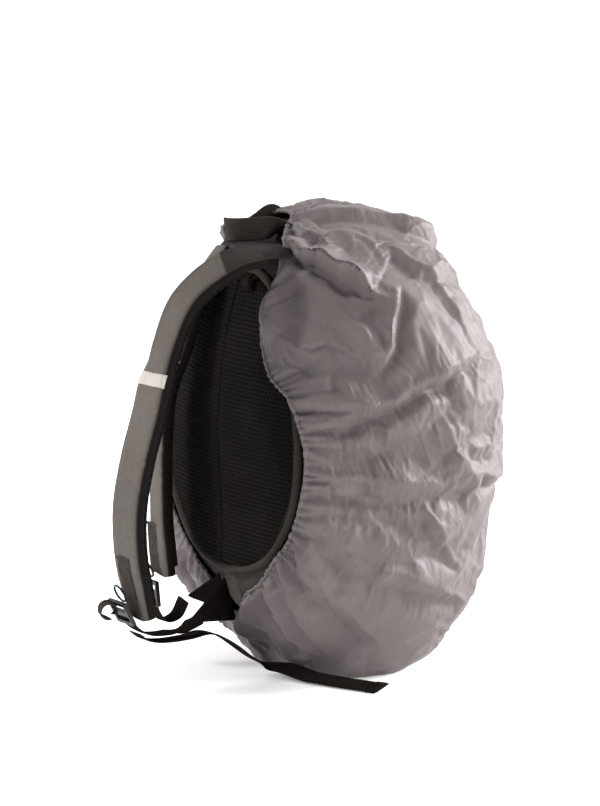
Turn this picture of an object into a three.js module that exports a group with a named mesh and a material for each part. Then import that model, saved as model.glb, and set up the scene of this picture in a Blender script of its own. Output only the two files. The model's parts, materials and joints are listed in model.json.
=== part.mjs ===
// A backpack with its fitted elastic-hem rain cover on, standing on its base.
// Millimetres, +Z up. The back panel faces -Y, the wearer's left side is +X.
import * as THREE from 'three';

const V = (x, y, z) => new THREE.Vector3(x, y, z);
const DEGREE = Math.PI / 180;

// ---------------------------------------------------------------- driving dimensions
const DOME_RADIUS = 160;            // round shoulders of the pack, seen from the front
const DOME_CENTRE_Z = 308;
const HEIGHT = 468;
const CORE = V(0, 110, 225);        // every radius of the body is measured from here
const SHIFT_Y = 40.7;                // brings the outline's middle to the origin

const COVER_THICKNESS = 1.6;
const BAG_INSET = 12;               // cover's outside to the pack's fabric
const BAG_THICKNESS = 5;               // padded wall
const GAP = 0.35;                   // kept between touching pieces
const FRONT_TILT = 1.85;            // where the front panels of cover and shell begin
const SEAM_TURN = 0.0012;           // half a seam's gap, as an angle seen from CORE

const PANEL_TOP_Z = 410;
const PANEL_BOTTOM_Z = 99;
const PANEL_EDGE_DEPTH = 8;         // thickness of the back pads at their edge
const PIPING_RADIUS = 4.5;

const STRAP_WIDTH = 60;
const STRAP_THICKNESS = 12;
const LINING_THICKNESS = 3;
const WEB_WIDTH = 25;
const WEB_THICKNESS = 1.8;

// ---------------------------------------------------------------- profiles
// Side profile: height, back, front of the body on its middle plane.
const BACK = [[0, 44], [8, 38], [30, 29], [50, 15], [70, 3], [90, -4], [143, -3], [215, 0],
  [315, 8], [412, 20], [437, 27], [450, 42], [460, 62], [468, 100]];
const FRONT = [[0, 134], [5, 158], [15, 186], [40, 213], [88, 238], [137, 249], [186, 262], [235, 269],
  [300, 269], [332, 255], [356, 243], [405, 218], [429, 203], [441, 189], [454, 162], [468, 122]];
const RIDGE = [[99, 3], [118, 6], [159, 9], [208, 16], [262, 22], [335, 20], [395, 9], [410, 4]];
const PANEL_HALF = [[99, 4], [106, 42], [118, 74], [143, 104], [182, 130], [215, 137], [250, 134],
  [290, 122], [340, 100], [380, 72], [402, 44], [410, 18]];

function profile(table, z) {
  const last = table.length - 1;
  const zc = Math.min(Math.max(z, table[0][0]), table[last][0]);
  let i = 0;
  while (i < last - 1 && zc > table[i + 1][0]) i += 1;
  const [z0, v0] = table[i];
  const [z1, v1] = table[i + 1];
  const slope = (a, b) => (b[1] - a[1]) / (b[0] - a[0]);
  const m0 = i > 0 ? (slope(table[i - 1], table[i]) + slope(table[i], table[i + 1])) / 2
    : slope(table[0], table[1]);
  const m1 = i < last - 1 ? (slope(table[i], table[i + 1]) + slope(table[i + 1], table[i + 2])) / 2
    : slope(table[last - 1], table[last]);
  const h = z1 - z0;
  const t = (zc - z0) / h;
  const t2 = t * t;
  const t3 = t2 * t;
  return (2 * t3 - 3 * t2 + 1) * v0 + (t3 - 2 * t2 + t) * h * m0
    + (-2 * t3 + 3 * t2) * v1 + (t3 - t2) * h * m1;
}

function halfWidth(z) {
  if (z > DOME_CENTRE_Z) return Math.sqrt(Math.max(0, DOME_RADIUS ** 2 - (z - DOME_CENTRE_Z) ** 2));
  if (z > 200) return DOME_RADIUS;
  return DOME_RADIUS * (1 - 0.45 * ((200 - z) / 200) ** 3.2);
}

const panelHalf = (z) => profile(PANEL_HALF, z);

// Half width of the back panel's outline, drawn in by a margin all round.
function panelInside(z, margin) {
  let half = Infinity;
  for (let a = -90; a <= 90; a += 10) {
    const level = z + margin * Math.sin(a * DEGREE);
    const inside = level >= PANEL_BOTTOM_Z && level <= PANEL_TOP_Z;
    half = Math.min(half, (inside ? panelHalf(level) : 0) - margin * Math.cos(a * DEGREE));
  }
  return half;
}

function padDepth(x, z) {
  const across = Math.min(1, Math.abs(x) / Math.max(1, panelHalf(z)));
  return PANEL_EDGE_DEPTH * (1 - 0.25 * across ** 6) + profile(RIDGE, z) * (1 - across ** 1.6) * 0.8;
}

// How far the rain cover stands off the back, where it lies over the back panel.
function liftOverPanel(x, z) {
  const inside = (panelHalf(z) + 16 - Math.abs(x)) / 14;
  const below = (PANEL_TOP_Z + 15 - z) / 15;
  const blend = Math.min(1, Math.max(0, Math.min(inside, below)));
  return 1.2 + (Math.max(padDepth(x, z), 2 * PIPING_RADIUS) + 6.5) * blend * blend * (3 - 2 * blend);
}
const noLift = () => 0;

// The body: flat towards the back, fullest at two fifths of its depth, round in front.
function inBody(p, lift) {
  if (p.z <= 0 || p.z >= HEIGHT) return false;
  const back = profile(BACK, p.z);
  if (p.y < back - lift(p.x, p.z)) return false;
  const s = Math.max(0, (p.y - back) / (profile(FRONT, p.z) - back));
  if (s >= 1) return false;
  const full = 0.42;
  const ends = Math.min(1, Math.abs(p.z - 235) / 235);
  const flatBack = 0.91 - 0.55 * ends ** 4;
  const u = s < full ? (full - s) / full : (s - full) / (1 - full);
  const narrowing = s < full ? 1 - (1 - flatBack) * u ** 2.2 : (1 - u ** 2.5) ** 0.4;
  return Math.abs(p.x) < halfWidth(p.z) * narrowing;
}

// How far the body reaches from CORE in a direction.
function reach(direction, lift = noLift) {
  let near = 0;
  let far = 420;
  for (let i = 0; i < 26; i += 1) {
    const mid = (near + far) / 2;
    if (inBody(CORE.clone().addScaledVector(direction, mid), lift)) near = mid;
    else far = mid;
  }
  return near;
}

// First point of the body met by a line along +Y through x, z.
function backPoint(x, z, lift) {
  for (let y = -60; y < 200; y += 0.5) if (inBody(V(x, y, z), lift)) return V(x, y, z);
  return V(x, CORE.y, z);
}

// ---------------------------------------------------------------- solids from rings of points
function solid(positions, faces) {
  const geometry = new THREE.BufferGeometry();
  geometry.setAttribute('position', new THREE.Float32BufferAttribute(positions.flatMap((p) => p.toArray()), 3));
  let volume = 0;
  for (const [a, b, c] of faces) {
    volume += positions[a].dot(positions[b].clone().cross(positions[c]));
  }
  const outward = volume > 0 ? faces : faces.map(([a, b, c]) => [a, c, b]);
  geometry.setIndex(outward.flat());
  geometry.computeVertexNormals();
  return geometry;
}

function loft(rings, closed = false) {
  const n = rings[0].length;
  const positions = rings.flat();
  const faces = [];
  const steps = closed ? rings.length : rings.length - 1;
  for (let k = 0; k < steps; k += 1) {
    const next = (k + 1) % rings.length;
    for (let i = 0; i < n; i += 1) {
      const j = (i + 1) % n;
      faces.push([k * n + i, k * n + j, next * n + j], [k * n + i, next * n + j, next * n + i]);
    }
  }
  if (!closed) {
    for (const [first, flip] of [[0, true], [(rings.length - 1) * n, false]]) {
      const centre = V(0, 0, 0);
      for (let i = 0; i < n; i += 1) centre.addScaledVector(positions[first + i], 1 / n);
      const c = positions.push(centre) - 1;
      for (let i = 0; i < n; i += 1) {
        const j = first + ((i + 1) % n);
        faces.push(flip ? [c, j, first + i] : [c, first + i, j]);
      }
    }
  }
  return solid(positions, faces);
}

// A band of oval or flat section along points; `across` is the direction of its width.
function band(points, across, width, thickness, sides = 4, closed = false) {
  const rings = points.map((p, i) => {
    const before = points[closed ? (i + points.length - 1) % points.length : Math.max(0, i - 1)];
    const after = points[closed ? (i + 1) % points.length : Math.min(points.length - 1, i + 1)];
    const along = after.clone().sub(before).normalize();
    const wide = (typeof across === 'function' ? across(p, i) : across).clone();
    wide.addScaledVector(along, -wide.dot(along)).normalize();
    const thick = along.clone().cross(wide);
    const ring = [];
    for (let k = 0; k < sides; k += 1) {
      const turn = (2 * Math.PI * (k + 0.5)) / sides;
      const c = Math.cos(turn);
      const s = Math.sin(turn);
      const squared = sides > 4 ? 0.5 : 0;
      const u = Math.sign(c) * Math.abs(c) ** squared;
      const v = Math.sign(s) * Math.abs(s) ** (sides > 4 ? 0.8 : 0);
      ring.push(p.clone().addScaledVector(wide, (u * width) / 2).addScaledVector(thick, (v * thickness) / 2));
    }
    return ring;
  });
  return loft(rings, closed);
}

function cordLoop(points, radius, sides = 6) {
  const rings = points.map((p, i) => {
    const before = points[(i + points.length - 1) % points.length];
    const after = points[(i + 1) % points.length];
    const along = after.clone().sub(before).normalize();
    const out = V(0, 1, 0).addScaledVector(along, -along.y).normalize();
    const side = along.clone().cross(out);
    return Array.from({ length: sides }, (_, k) => {
      const turn = (2 * Math.PI * k) / sides;
      return p.clone().addScaledVector(out, radius * Math.cos(turn)).addScaledVector(side, radius * Math.sin(turn));
    });
  });
  return loft(rings, true);
}

function smooth(points, count, closed = false) {
  const curve = new THREE.CatmullRomCurve3(points, closed, 'centripetal');
  const spaced = curve.getSpacedPoints(count);
  return closed ? spaced.slice(0, -1) : spaced;
}

// ---------------------------------------------------------------- materials and nodes
const pack = new THREE.Group();
pack.position.y = -SHIFT_Y;

const material = (color, roughness, metalness = 0) => new THREE.MeshStandardMaterial({ color, roughness, metalness });
const COVER_CLOTH = material(0x7b7170, 0.5);
const ELASTIC = material(0x5c5755, 0.8);
const PACK_CLOTH = material(0x2f2b29, 0.8);
const STRAP_CLOTH = material(0x4a4542, 0.75);
const AIR_MESH = material(0x1c1a18, 0.95);
const BINDING = material(0x312d29, 0.7);
const FOAM = material(0x55565a, 0.95);
const BOARD = material(0xd8d8d2, 0.5);
const WEBBING = material(0x26231f, 0.85);
const BUCKLE = material(0x141414, 0.35);
const REFLECTIVE = material(0xcec5be, 0.35);
const ZIP = material(0x1a1a1a, 0.6);
const SLIDER = material(0x3a3a3c, 0.35, 0.9);

function add(name, geometry, look) {
  const mesh = new THREE.Mesh(geometry, look);
  mesh.name = name;
  pack.add(mesh);
  return mesh;
}

// ---------------------------------------------------------------- the shells of the body
// Rim of a cup that opens towards the back, from its two halves as distances out and heights.
function rimColumns(left, right, count, lift) {
  const down = left.map(([x, z]) => V(x, 0, z));
  const up = right.slice(1, -1).reverse().map(([x, z]) => V(-x, 0, z));
  return smooth([...down, ...up], count, true).map((q) => {
    const from = backPoint(q.x, q.z, lift).sub(CORE);
    return { turn: Math.atan2(from.z, from.x), tilt: Math.acos(-from.y / from.length()) };
  });
}

function aim(turn, tilt) {
  const s = Math.sin(tilt);
  return V(Math.cos(turn) * s, -Math.cos(tilt), Math.sin(turn) * s);
}

function skinPoint(turn, tilt, depth, lift) {
  const direction = aim(turn, tilt);
  return CORE.clone().addScaledVector(direction, reach(direction, lift) - depth);
}

// A bowl over the front of the body, from one tilt to the front pole.
function bowl(columns, from, steps, inset, thickness) {
  const last = Math.PI * 0.985;
  const rings = [];
  const ringAt = (f, depth) => columns.map(({ turn }) => skinPoint(turn, from + (last - from) * f, depth, noLift));
  for (let k = steps; k >= 0; k -= 1) rings.push(ringAt(k / steps, inset + thickness));
  for (let k = 0; k <= steps; k += 1) rings.push(ringAt(k / steps, inset));
  return loft(rings);
}

// A closed solid between two skins of points with the same layout.
function slab(outer, inner) {
  const across = outer.length;
  const rows = outer[0].length;
  const at = (i, k, layer) => (layer * across + i) * rows + k;
  const faces = [];
  const quad = (a, b, c, d) => faces.push([a, b, c], [a, c, d]);
  for (let i = 0; i < across - 1; i += 1) {
    for (let k = 0; k < rows - 1; k += 1) {
      quad(at(i, k, 0), at(i + 1, k, 0), at(i + 1, k + 1, 0), at(i, k + 1, 0));
      quad(at(i, k, 1), at(i, k + 1, 1), at(i + 1, k + 1, 1), at(i + 1, k, 1));
    }
    quad(at(i, 0, 0), at(i, 0, 1), at(i + 1, 0, 1), at(i + 1, 0, 0));
    quad(at(i, rows - 1, 0), at(i + 1, rows - 1, 0), at(i + 1, rows - 1, 1), at(i, rows - 1, 1));
  }
  for (let k = 0; k < rows - 1; k += 1) {
    quad(at(0, k, 0), at(0, k + 1, 0), at(0, k + 1, 1), at(0, k, 1));
    quad(at(across - 1, k, 0), at(across - 1, k, 1), at(across - 1, k + 1, 1), at(across - 1, k + 1, 0));
  }
  return solid([...outer.flat(), ...inner.flat()], faces);
}

// One sewn panel of a shell, from its rim to a tilt, over a run of columns.
function shellPanel(columns, to, steps, inset, thickness, lift) {
  const last = columns.length - 1;
  const skin = (depth) => columns.map(({ turn, tilt }, i) => {
    const seam = i === 0 ? -SEAM_TURN : SEAM_TURN * (i === last);
    return Array.from({ length: steps + 1 }, (_, k) => skinPoint(turn + seam, tilt + ((to - tilt) * k) / steps, depth, lift));
  });
  return slab(skin(inset), skin(inset + thickness));
}

// The four panels round the body and the front one, as they are sewn together.
function sewnShell(prefix, columns, steps, inset, thickness, lift, look) {
  const quarter = columns.length / 8;
  for (const [name, first] of [['top', -1], ['left', 1], ['base', 3], ['right', 5]]) {
    const run = Array.from({ length: 2 * quarter + 1 }, (_, i) => (
      columns[(columns.length + first * quarter + i) % columns.length]));
    add(`${prefix}_${name}_panel`, shellPanel(run, FRONT_TILT - SEAM_TURN, steps, inset, thickness, lift), look);
  }
  add(`${prefix}_front_panel`, bowl(columns, FRONT_TILT + SEAM_TURN, 6, inset, thickness), look);
}

// A patch lying on the pack: turns around the body, from tilt to tilt, between two insets.
function patch(turns, tilts, inner, outer, across = 12, along = 6) {
  const at = (i, k, depth) => {
    const turn = turns[0] + ((turns[1] - turns[0]) * i) / across;
    const tilt = tilts[0] + ((tilts[1] - tilts[0]) * k) / along;
    const direction = aim(turn, tilt);
    return CORE.clone().addScaledVector(direction, reach(direction) - depth);
  };
  const rings = [];
  for (let k = 0; k <= along; k += 1) {
    const ring = [];
    for (let i = 0; i <= across; i += 1) ring.push(at(i, k, outer));
    for (let i = across; i >= 0; i -= 1) ring.push(at(i, k, inner));
    rings.push(ring);
  }
  return loft(rings);
}

const HEM_LOWER = [[120, 287], [137, 250], [140, 205], [132, 170], [110, 132], [72, 102], [44, 84], [26, 60],
  [12, 36], [0, 27]];
const HEM_LEFT = [[0, 459], [34, 453], [60, 440], [68, 418], [67, 385], [72, 350], [88, 314],
  ...HEM_LOWER.slice(0, 5), [66, 101], [36, 84], [17, 62], [8, 40], [0, 27]];
const HEM_RIGHT = [[0, 459], [34, 453], [64, 440], [86, 418], [92, 385], [94, 350], [101, 314], ...HEM_LOWER];
const coverColumns = rimColumns(HEM_LEFT, HEM_RIGHT, 56, liftOverPanel);
sewnShell('cover', coverColumns, 7, 0, COVER_THICKNESS, liftOverPanel, COVER_CLOTH);

const ELASTIC_RADIUS = 1.5;
const ELASTIC_TILT = 0.02;
const hemPoints = coverColumns.map(({ turn, tilt }) => {
  const direction = aim(turn, tilt - ELASTIC_TILT);
  const rim = reach(aim(turn, tilt), liftOverPanel);
  return CORE.clone().addScaledVector(direction, rim + ELASTIC_RADIUS);
});
add('cover_hem_elastic', cordLoop(hemPoints, ELASTIC_RADIUS), ELASTIC);

const BAG_RIM = [[0, 428], [52, 414], [92, 374], [112, 320], [122, 260], [123, 200], [114, 140],
  [88, 92], [50, 66], [0, 60]];
const bagColumns = rimColumns(BAG_RIM, BAG_RIM, 48, noLift);
sewnShell('bag', bagColumns, 6, BAG_INSET, BAG_THICKNESS, noLift, PACK_CLOTH);

// ---------------------------------------------------------------- plates behind the back pads
// A plate that follows the back: outline rows from bottom to top, held between two depths.
function backPlate(halfAt, zLow, zHigh, depth, thickness, rows = 12, columns = 6) {
  const rings = [];
  for (let k = 0; k <= rows; k += 1) {
    const z = zLow + ((zHigh - zLow) * k) / rows;
    const half = halfAt(z);
    const y = profile(BACK, z) + depth;
    const ring = [];
    for (let i = 0; i <= columns; i += 1) ring.push(V(-half + (2 * half * i) / columns, y, z));
    for (let i = columns; i >= 0; i -= 1) ring.push(V(-half + (2 * half * i) / columns, y + thickness, z));
    rings.push(ring);
  }
  return loft(rings);
}

const ovalHalf = (half, low, high) => (z) => {
  const u = Math.min(1, Math.abs((2 * z - low - high) / (high - low)));
  return 6 + (half - 6) * (1 - u ** 3.2) ** 0.6;
};
add('back_cloth', backPlate(ovalHalf(108, 78, 420), 80, 418, 0.4, 1.2), PACK_CLOTH);
add('back_foam', backPlate(ovalHalf(104, 102, 410), 104, 408, 2.2, 4.2), FOAM);
add('frame_sheet', backPlate(ovalHalf(100, 108, 406), 110, 404, 7, 1.5), BOARD);

// ---------------------------------------------------------------- back pads of air mesh
function backPad(side) {
  const rows = 22;
  const columns = 9;
  const margin = 2 * PIPING_RADIUS + 2 * GAP;
  const low = PANEL_BOTTOM_Z + margin + 2;
  const high = PANEL_TOP_Z - margin - 1;
  const rings = [];
  for (let k = 0; k <= rows; k += 1) {
    const z = low + ((high - low) * k) / rows;
    const half = panelInside(z, margin);
    const y = profile(BACK, z) - GAP;
    const ring = [];
    for (let i = 0; i <= columns; i += 1) {
      const x = GAP + ((half - GAP) * i) / columns;
      ring.push(V(side * x, y - padDepth(x, z), z));
    }
    for (let i = columns; i >= 0; i -= 3) ring.push(V(side * (GAP + ((half - GAP) * i) / columns), y, z));
    rings.push(ring);
  }
  return loft(rings);
}
add('left_back_pad', backPad(1), AIR_MESH);
add('right_back_pad', backPad(-1), AIR_MESH);

function panelOutline() {
  const rows = 22;
  const low = PANEL_BOTTOM_Z + PIPING_RADIUS;
  const high = PANEL_TOP_Z - PIPING_RADIUS;
  const right = Array.from({ length: rows + 1 }, (_, k) => {
    const z = (high + low) / 2 - ((high - low) / 2) * Math.cos((Math.PI * k) / rows);
    return V(panelInside(z, PIPING_RADIUS), 0, z);
  });
  const left = right.slice(1, -1).reverse().map((p) => V(-p.x, 0, p.z));
  return smooth([...right, ...left], 56, true).map((p) => {
    p.y = profile(BACK, p.z) - PIPING_RADIUS - GAP;
    return p;
  });
}
add('panel_piping', cordLoop(panelOutline(), PIPING_RADIUS, 7), BINDING);

// ---------------------------------------------------------------- inside and front of the pack
const SLEEVE = { half: 92, low: 120, high: 350, gap: 14, thickness: 2 };
add('laptop_sleeve', backPlate(() => SLEEVE.half, SLEEVE.low, SLEEVE.high, SLEEVE.gap, SLEEVE.thickness, 8), PACK_CLOTH);

const boardOutline = new THREE.Shape().absellipse(0, 0, 78, 46, 0, 2 * Math.PI);
const baseBoard = new THREE.ExtrudeGeometry(boardOutline, { depth: 4, bevelEnabled: false, curveSegments: 12 });
baseBoard.translate(0, 112, 26);
add('base_board', baseBoard, BOARD);

const PATCH_GAP = 2.5;
add('front_pocket', patch([-32 * DEGREE, -148 * DEGREE], [122 * DEGREE, 160 * DEGREE],
  BAG_INSET - PATCH_GAP, BAG_INSET - 5), PACK_CLOTH);
add('front_pocket_zip', patch([66 * DEGREE, 114 * DEGREE], [150 * DEGREE, 154 * DEGREE],
  BAG_INSET - PATCH_GAP, BAG_INSET - 3, 12, 2), ZIP);
for (const [name, middle] of [['left_side_pocket', -20], ['right_side_pocket', -160]]) {
  add(name, patch([(middle - 21) * DEGREE, (middle + 21) * DEGREE], [82 * DEGREE, 112 * DEGREE],
    BAG_INSET - PATCH_GAP, BAG_INSET - 5, 8, 6), PACK_CLOTH);
}

// Main zip: a circular track over the shoulders of the pack, in the plane y = ZIP_Y.
const ZIP_Y = 112;
const ZIP_RADIUS = 153;
const ZIP_WIDTH = 14;
const arc = (from, to, count, radius) => Array.from({ length: count + 1 }, (_, i) => {
  const a = (from + ((to - from) * i) / count) * DEGREE;
  return V(radius * Math.cos(a), ZIP_Y, DOME_CENTRE_Z + radius * Math.sin(a));
});
add('main_zip', band(arc(4, 176, 36, ZIP_RADIUS - 1.6), V(0, 1, 0), ZIP_WIDTH, 1.2), ZIP);
const slider = (from, to) => band(arc(from, to, 3, ZIP_RADIUS + 0.6), V(0, 1, 0), 7, 2.2);
add('left_zip_slider', slider(84.5, 88.5), SLIDER);
add('right_zip_slider', slider(91.5, 95.5), SLIDER);

// ---------------------------------------------------------------- yoke and shoulder straps
// The yoke is a flat pad lying along X. Its front edge runs out to the left strap only.
const YOKE = { half: 50, back: 33, height: 430, thickness: 11 };
const yokeFront = (x) => 13 - 25 / (1 + Math.exp(-(x + 14) / 9));
const yokeRings = Array.from({ length: 13 }, (_, k) => {
  const x = YOKE.half * (k / 6 - 1);
  const middle = (YOKE.back + yokeFront(x)) / 2;
  const half = (YOKE.back - yokeFront(x)) / 2;
  return Array.from({ length: 12 }, (_unused, i) => {
    const turn = (2 * Math.PI * (i + 0.5)) / 12;
    const c = Math.cos(turn);
    const s = Math.sin(turn);
    return V(x, middle + Math.sign(c) * Math.abs(c) ** 0.4 * half,
      YOKE.height + (Math.sign(s) * Math.abs(s) ** 0.7 * YOKE.thickness) / 2);
  });
});
add('shoulder_yoke', loft(yokeRings), STRAP_CLOTH);

// Outer face of each strap on its middle line, from yoke to tip.
const LEFT_ROUTE = [V(60, -17, 436), V(60, -44, 431), V(60, -80, 412), V(60, -104, 388), V(60, -123, 344),
  V(60, -138, 284), V(60, -152, 236), V(60, -161, 188), V(60, -160, 140), V(60, -153, 104), V(60, -144, 72)];
const RIGHT_ROUTE = [V(-46, 5, 424), V(-46, -3, 414), V(-47, -11, 402), V(-49, -19, 388), V(-52, -31, 366),
  V(-56, -46, 330), V(-59, -57, 285), V(-60, -62, 230), V(-60, -62, 170), V(-60, -60, 120), V(-59, -57, 90)];
const STRAPS = [
  { side: 'left', route: LEFT_ROUTE, bandAt: 0.405 },
  { side: 'right', route: RIGHT_ROUTE, bandAt: 0.36 },
];

// Points at a depth under the outer face, each with its direction across the thickness.
function strapLine(route, depth, from, to, count) {
  const line = smooth(route, 80);
  const points = [];
  for (let i = 0; i <= count; i += 1) {
    const k = Math.round((from + ((to - from) * i) / count) * 80);
    const along = line[Math.min(80, k + 1)].clone().sub(line[Math.max(0, k - 1)]).normalize();
    const inward = V(0, -along.z, along.y);
    if (inward.y < 0) inward.negate();
    points.push(line[k].clone().addScaledVector(inward, depth));
  }
  return points;
}

const X_AXIS = V(1, 0, 0);
for (const { side, route, bandAt } of STRAPS) {
  const padWidth = (f) => STRAP_WIDTH * (f > 0.9 ? 1 - 2.2 * (f - 0.9) : 1);
  const pad = strapLine(route, STRAP_THICKNESS / 2, 0, 1, 30);
  const rings = pad.map((p, i) => {
    const before = pad[Math.max(0, i - 1)];
    const after = pad[Math.min(pad.length - 1, i + 1)];
    const along = after.clone().sub(before).normalize();
    const thick = along.clone().cross(X_AXIS);
    return Array.from({ length: 12 }, (_, k) => {
      const turn = (2 * Math.PI * (k + 0.5)) / 12;
      const c = Math.cos(turn);
      const s = Math.sin(turn);
      return p.clone()
        .addScaledVector(X_AXIS, (Math.sign(c) * Math.abs(c) ** 0.45 * padWidth(i / 30)) / 2)
        .addScaledVector(thick, (Math.sign(s) * Math.abs(s) ** 0.7 * STRAP_THICKNESS) / 2);
    });
  });
  add(`${side}_strap_pad`, loft(rings), STRAP_CLOTH);
  const liningDepth = STRAP_THICKNESS + GAP + LINING_THICKNESS / 2;
  add(`${side}_strap_lining`, band(strapLine(route, liningDepth, 0.06, 0.96, 22), X_AXIS,
    STRAP_WIDTH - 12, LINING_THICKNESS, 8), AIR_MESH);
  add(`${side}_reflective_band`, band(strapLine(route, -0.3 - GAP, bandAt, bandAt + 0.04, 2), X_AXIS,
    STRAP_WIDTH - 6, 0.6), REFLECTIVE);
  add(`${side}_strap_tape`, band(strapLine(route, -WEB_THICKNESS / 2 - GAP, 0.86, 0.96, 5), X_AXIS,
    WEB_WIDTH, WEB_THICKNESS), WEBBING);
}

// ---------------------------------------------------------------- lower adjusters
// A ladder lock: a frame with two slots, its bars across X, tilted about X.
function ladderLock(x, y, z, tilt) {
  const half = 17;
  const tall = 13;
  const outline = new THREE.Shape([[-half, -tall], [half, -tall], [half, tall], [-half, tall]]
    .map(([u, v]) => new THREE.Vector2(u, v)));
  for (const v of [-6, 6]) {
    outline.holes.push(new THREE.Path([[-13.4, v - 3], [-13.4, v + 3], [13.4, v + 3], [13.4, v - 3]]
      .map(([a, b]) => new THREE.Vector2(a, b))));
  }
  const geometry = new THREE.ExtrudeGeometry(outline, { depth: 4, bevelEnabled: false });
  geometry.translate(0, 0, -2);
  geometry.rotateX(Math.PI / 2 + tilt);
  geometry.translate(x, y, z);
  return geometry;
}

const LOCKS = {
  left: { x: 60, y: -163, z: 84, tilt: 0.5 },
  right: { x: -60, y: -67, z: 76, tilt: 0.1 },
};
const RINGS = {
  left: { x: 60, y: -165, z: 103 },
  right: { x: -60, y: -70, z: 100 },
};
const RING_TILT = 0.45;
for (const side of ['left', 'right']) {
  const { x, y, z, tilt } = LOCKS[side];
  add(`${side}_ladder_lock`, ladderLock(x, y, z, tilt), BUCKLE);
  const ring = new THREE.TorusGeometry(9, 1.1, 6, 20);
  ring.rotateX(Math.PI / 2 + RING_TILT);
  ring.translate(RINGS[side].x, RINGS[side].y, RINGS[side].z);
  add(`${side}_ring`, ring, BUCKLE);
}

// Triangular tabs sewn into the lower back, and the webbing from their tips to the locks.
function tab(base, tip) {
  const rows = 4;
  const rings = [];
  const facing = base[1].clone().sub(base[0]).cross(tip.clone().sub(base[0])).normalize();
  for (let k = 0; k <= rows; k += 1) {
    const f = (k / rows) * 0.9;
    const a = base[0].clone().lerp(tip, f);
    const b = base[1].clone().lerp(tip, f);
    rings.push([a.clone().addScaledVector(facing, 1.2), b.clone().addScaledVector(facing, 1.2),
      b.clone().addScaledVector(facing, -1.2), a.clone().addScaledVector(facing, -1.2)]);
  }
  return loft(rings);
}
add('left_base_tab', tab([V(2, -18, 95), V(4, -2, 53)], V(50, -84, 64)), WEBBING);
add('right_base_tab', tab([V(-22, -9, 96), V(-24, 2, 55)], V(-52, -30, 70)), WEBBING);

const LEFT_WEB = [V(51, -83, 62), V(54, -100, 59.5), V(57, -117, 58), V(59, -136, 60), V(60, -149, 67)];
const RIGHT_WEB = [V(-54, -32, 66), V(-57, -40, 50), V(-59, -53, 46), V(-60, -63, 58)];
add('left_adjuster_webbing', band(smooth(LEFT_WEB, 12), X_AXIS, WEB_WIDTH, WEB_THICKNESS), WEBBING);
add('right_adjuster_webbing', band(smooth(RIGHT_WEB, 10), X_AXIS, WEB_WIDTH, WEB_THICKNESS), WEBBING);

// The webbing's slack fold standing out of the left ladder lock.
const CURL = { y: -178.5, z: 85, radius: 9 };
const curlPoints = Array.from({ length: 15 }, (_, i) => {
  const a = (-40 + (290 * i) / 14) * DEGREE;
  return V(60, CURL.y + CURL.radius * Math.cos(a), CURL.z + CURL.radius * 0.8 * Math.sin(a));
});
add('left_webbing_fold', band(curlPoints, X_AXIS, WEB_WIDTH, WEB_THICKNESS), WEBBING);

// The free end of the left webbing: back past the tab, down to the floor and out beside the pack.
const TAIL = [V(59, -147, 61), V(58, -138, 55), V(56, -127, 51.5), V(54, -115, 50), V(50, -86, 50), V(46, -62, 52),
  V(43, -42, 45), V(40, -25, 34), V(38, -10, 23), V(41, 8, 12), V(57, 22, 10), V(92, 35, 9), V(132, 52, 8),
  V(170, 70, 8)];
const tailAcross = (p, i) => (i < 24 ? X_AXIS : V(-0.27, 0.85, 0.45));
add('left_webbing_tail', band(smooth(TAIL, 44), tailAcross, WEB_WIDTH, WEB_THICKNESS), WEBBING);

// ---------------------------------------------------------------- grab handle and top loop
const HANDLE = [V(23, 34, 451), V(24, 27, 450), V(24, 14, 449), V(19, -4, 449), V(8, -13, 449), V(-4, -11, 448),
  V(-14, 0, 447), V(-20, 14, 447.5), V(-23, 25, 449), V(-22, 34, 451)];
add('grab_handle', band(smooth(HANDLE, 30), V(0, 0, 1), WEB_WIDTH - 3, 2.2), WEBBING);
add('hang_loop', band(smooth([V(16, -4, 404), V(22, -14, 398), V(27, -16, 390), V(24, -8, 384)], 6),
  X_AXIS, 9, 3), WEBBING);

export default pack;
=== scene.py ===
"""Looks of a backpack standing with its rain cover on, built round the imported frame.

Shapes are worked out in design millimetres (+Z up, back panel towards -Y, the wearer's left at +X)
and turned into the row frame's metres when a mesh is made.
"""

import json
import math

import bpy
import numpy as np
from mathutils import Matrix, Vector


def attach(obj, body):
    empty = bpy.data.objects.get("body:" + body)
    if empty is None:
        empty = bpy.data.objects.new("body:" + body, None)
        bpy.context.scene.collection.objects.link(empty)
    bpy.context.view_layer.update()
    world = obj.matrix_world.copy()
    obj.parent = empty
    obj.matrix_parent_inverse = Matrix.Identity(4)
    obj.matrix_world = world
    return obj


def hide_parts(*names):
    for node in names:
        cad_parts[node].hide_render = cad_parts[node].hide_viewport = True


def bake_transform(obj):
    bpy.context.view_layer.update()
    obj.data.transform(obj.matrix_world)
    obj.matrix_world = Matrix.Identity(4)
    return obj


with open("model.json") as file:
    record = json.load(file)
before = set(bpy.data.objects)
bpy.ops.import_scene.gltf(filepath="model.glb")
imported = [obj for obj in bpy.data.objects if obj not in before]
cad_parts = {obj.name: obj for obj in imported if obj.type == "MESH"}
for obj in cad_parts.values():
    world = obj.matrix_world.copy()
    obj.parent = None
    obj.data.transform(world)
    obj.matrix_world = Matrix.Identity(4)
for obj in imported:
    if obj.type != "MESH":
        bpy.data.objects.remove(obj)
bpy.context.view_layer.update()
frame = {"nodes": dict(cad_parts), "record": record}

# ---------------------------------------------------------------- dimensions shared with the CAD
MM = 0.001
DEGREE = math.pi / 180
SHIFT = np.array([0.0, 40.7, 0.0])
DOME_RADIUS = 160
DOME_CENTRE_Z = 308
HEIGHT = 468
MIDDLE_Z = 235
REAR_SHARE, FRONT_SHARE = 0.42, 0.58  # of the depth, behind and before the widest place
CORE = np.array([0.0, 110.0, 225.0])
PANEL_TOP_Z = 410
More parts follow.
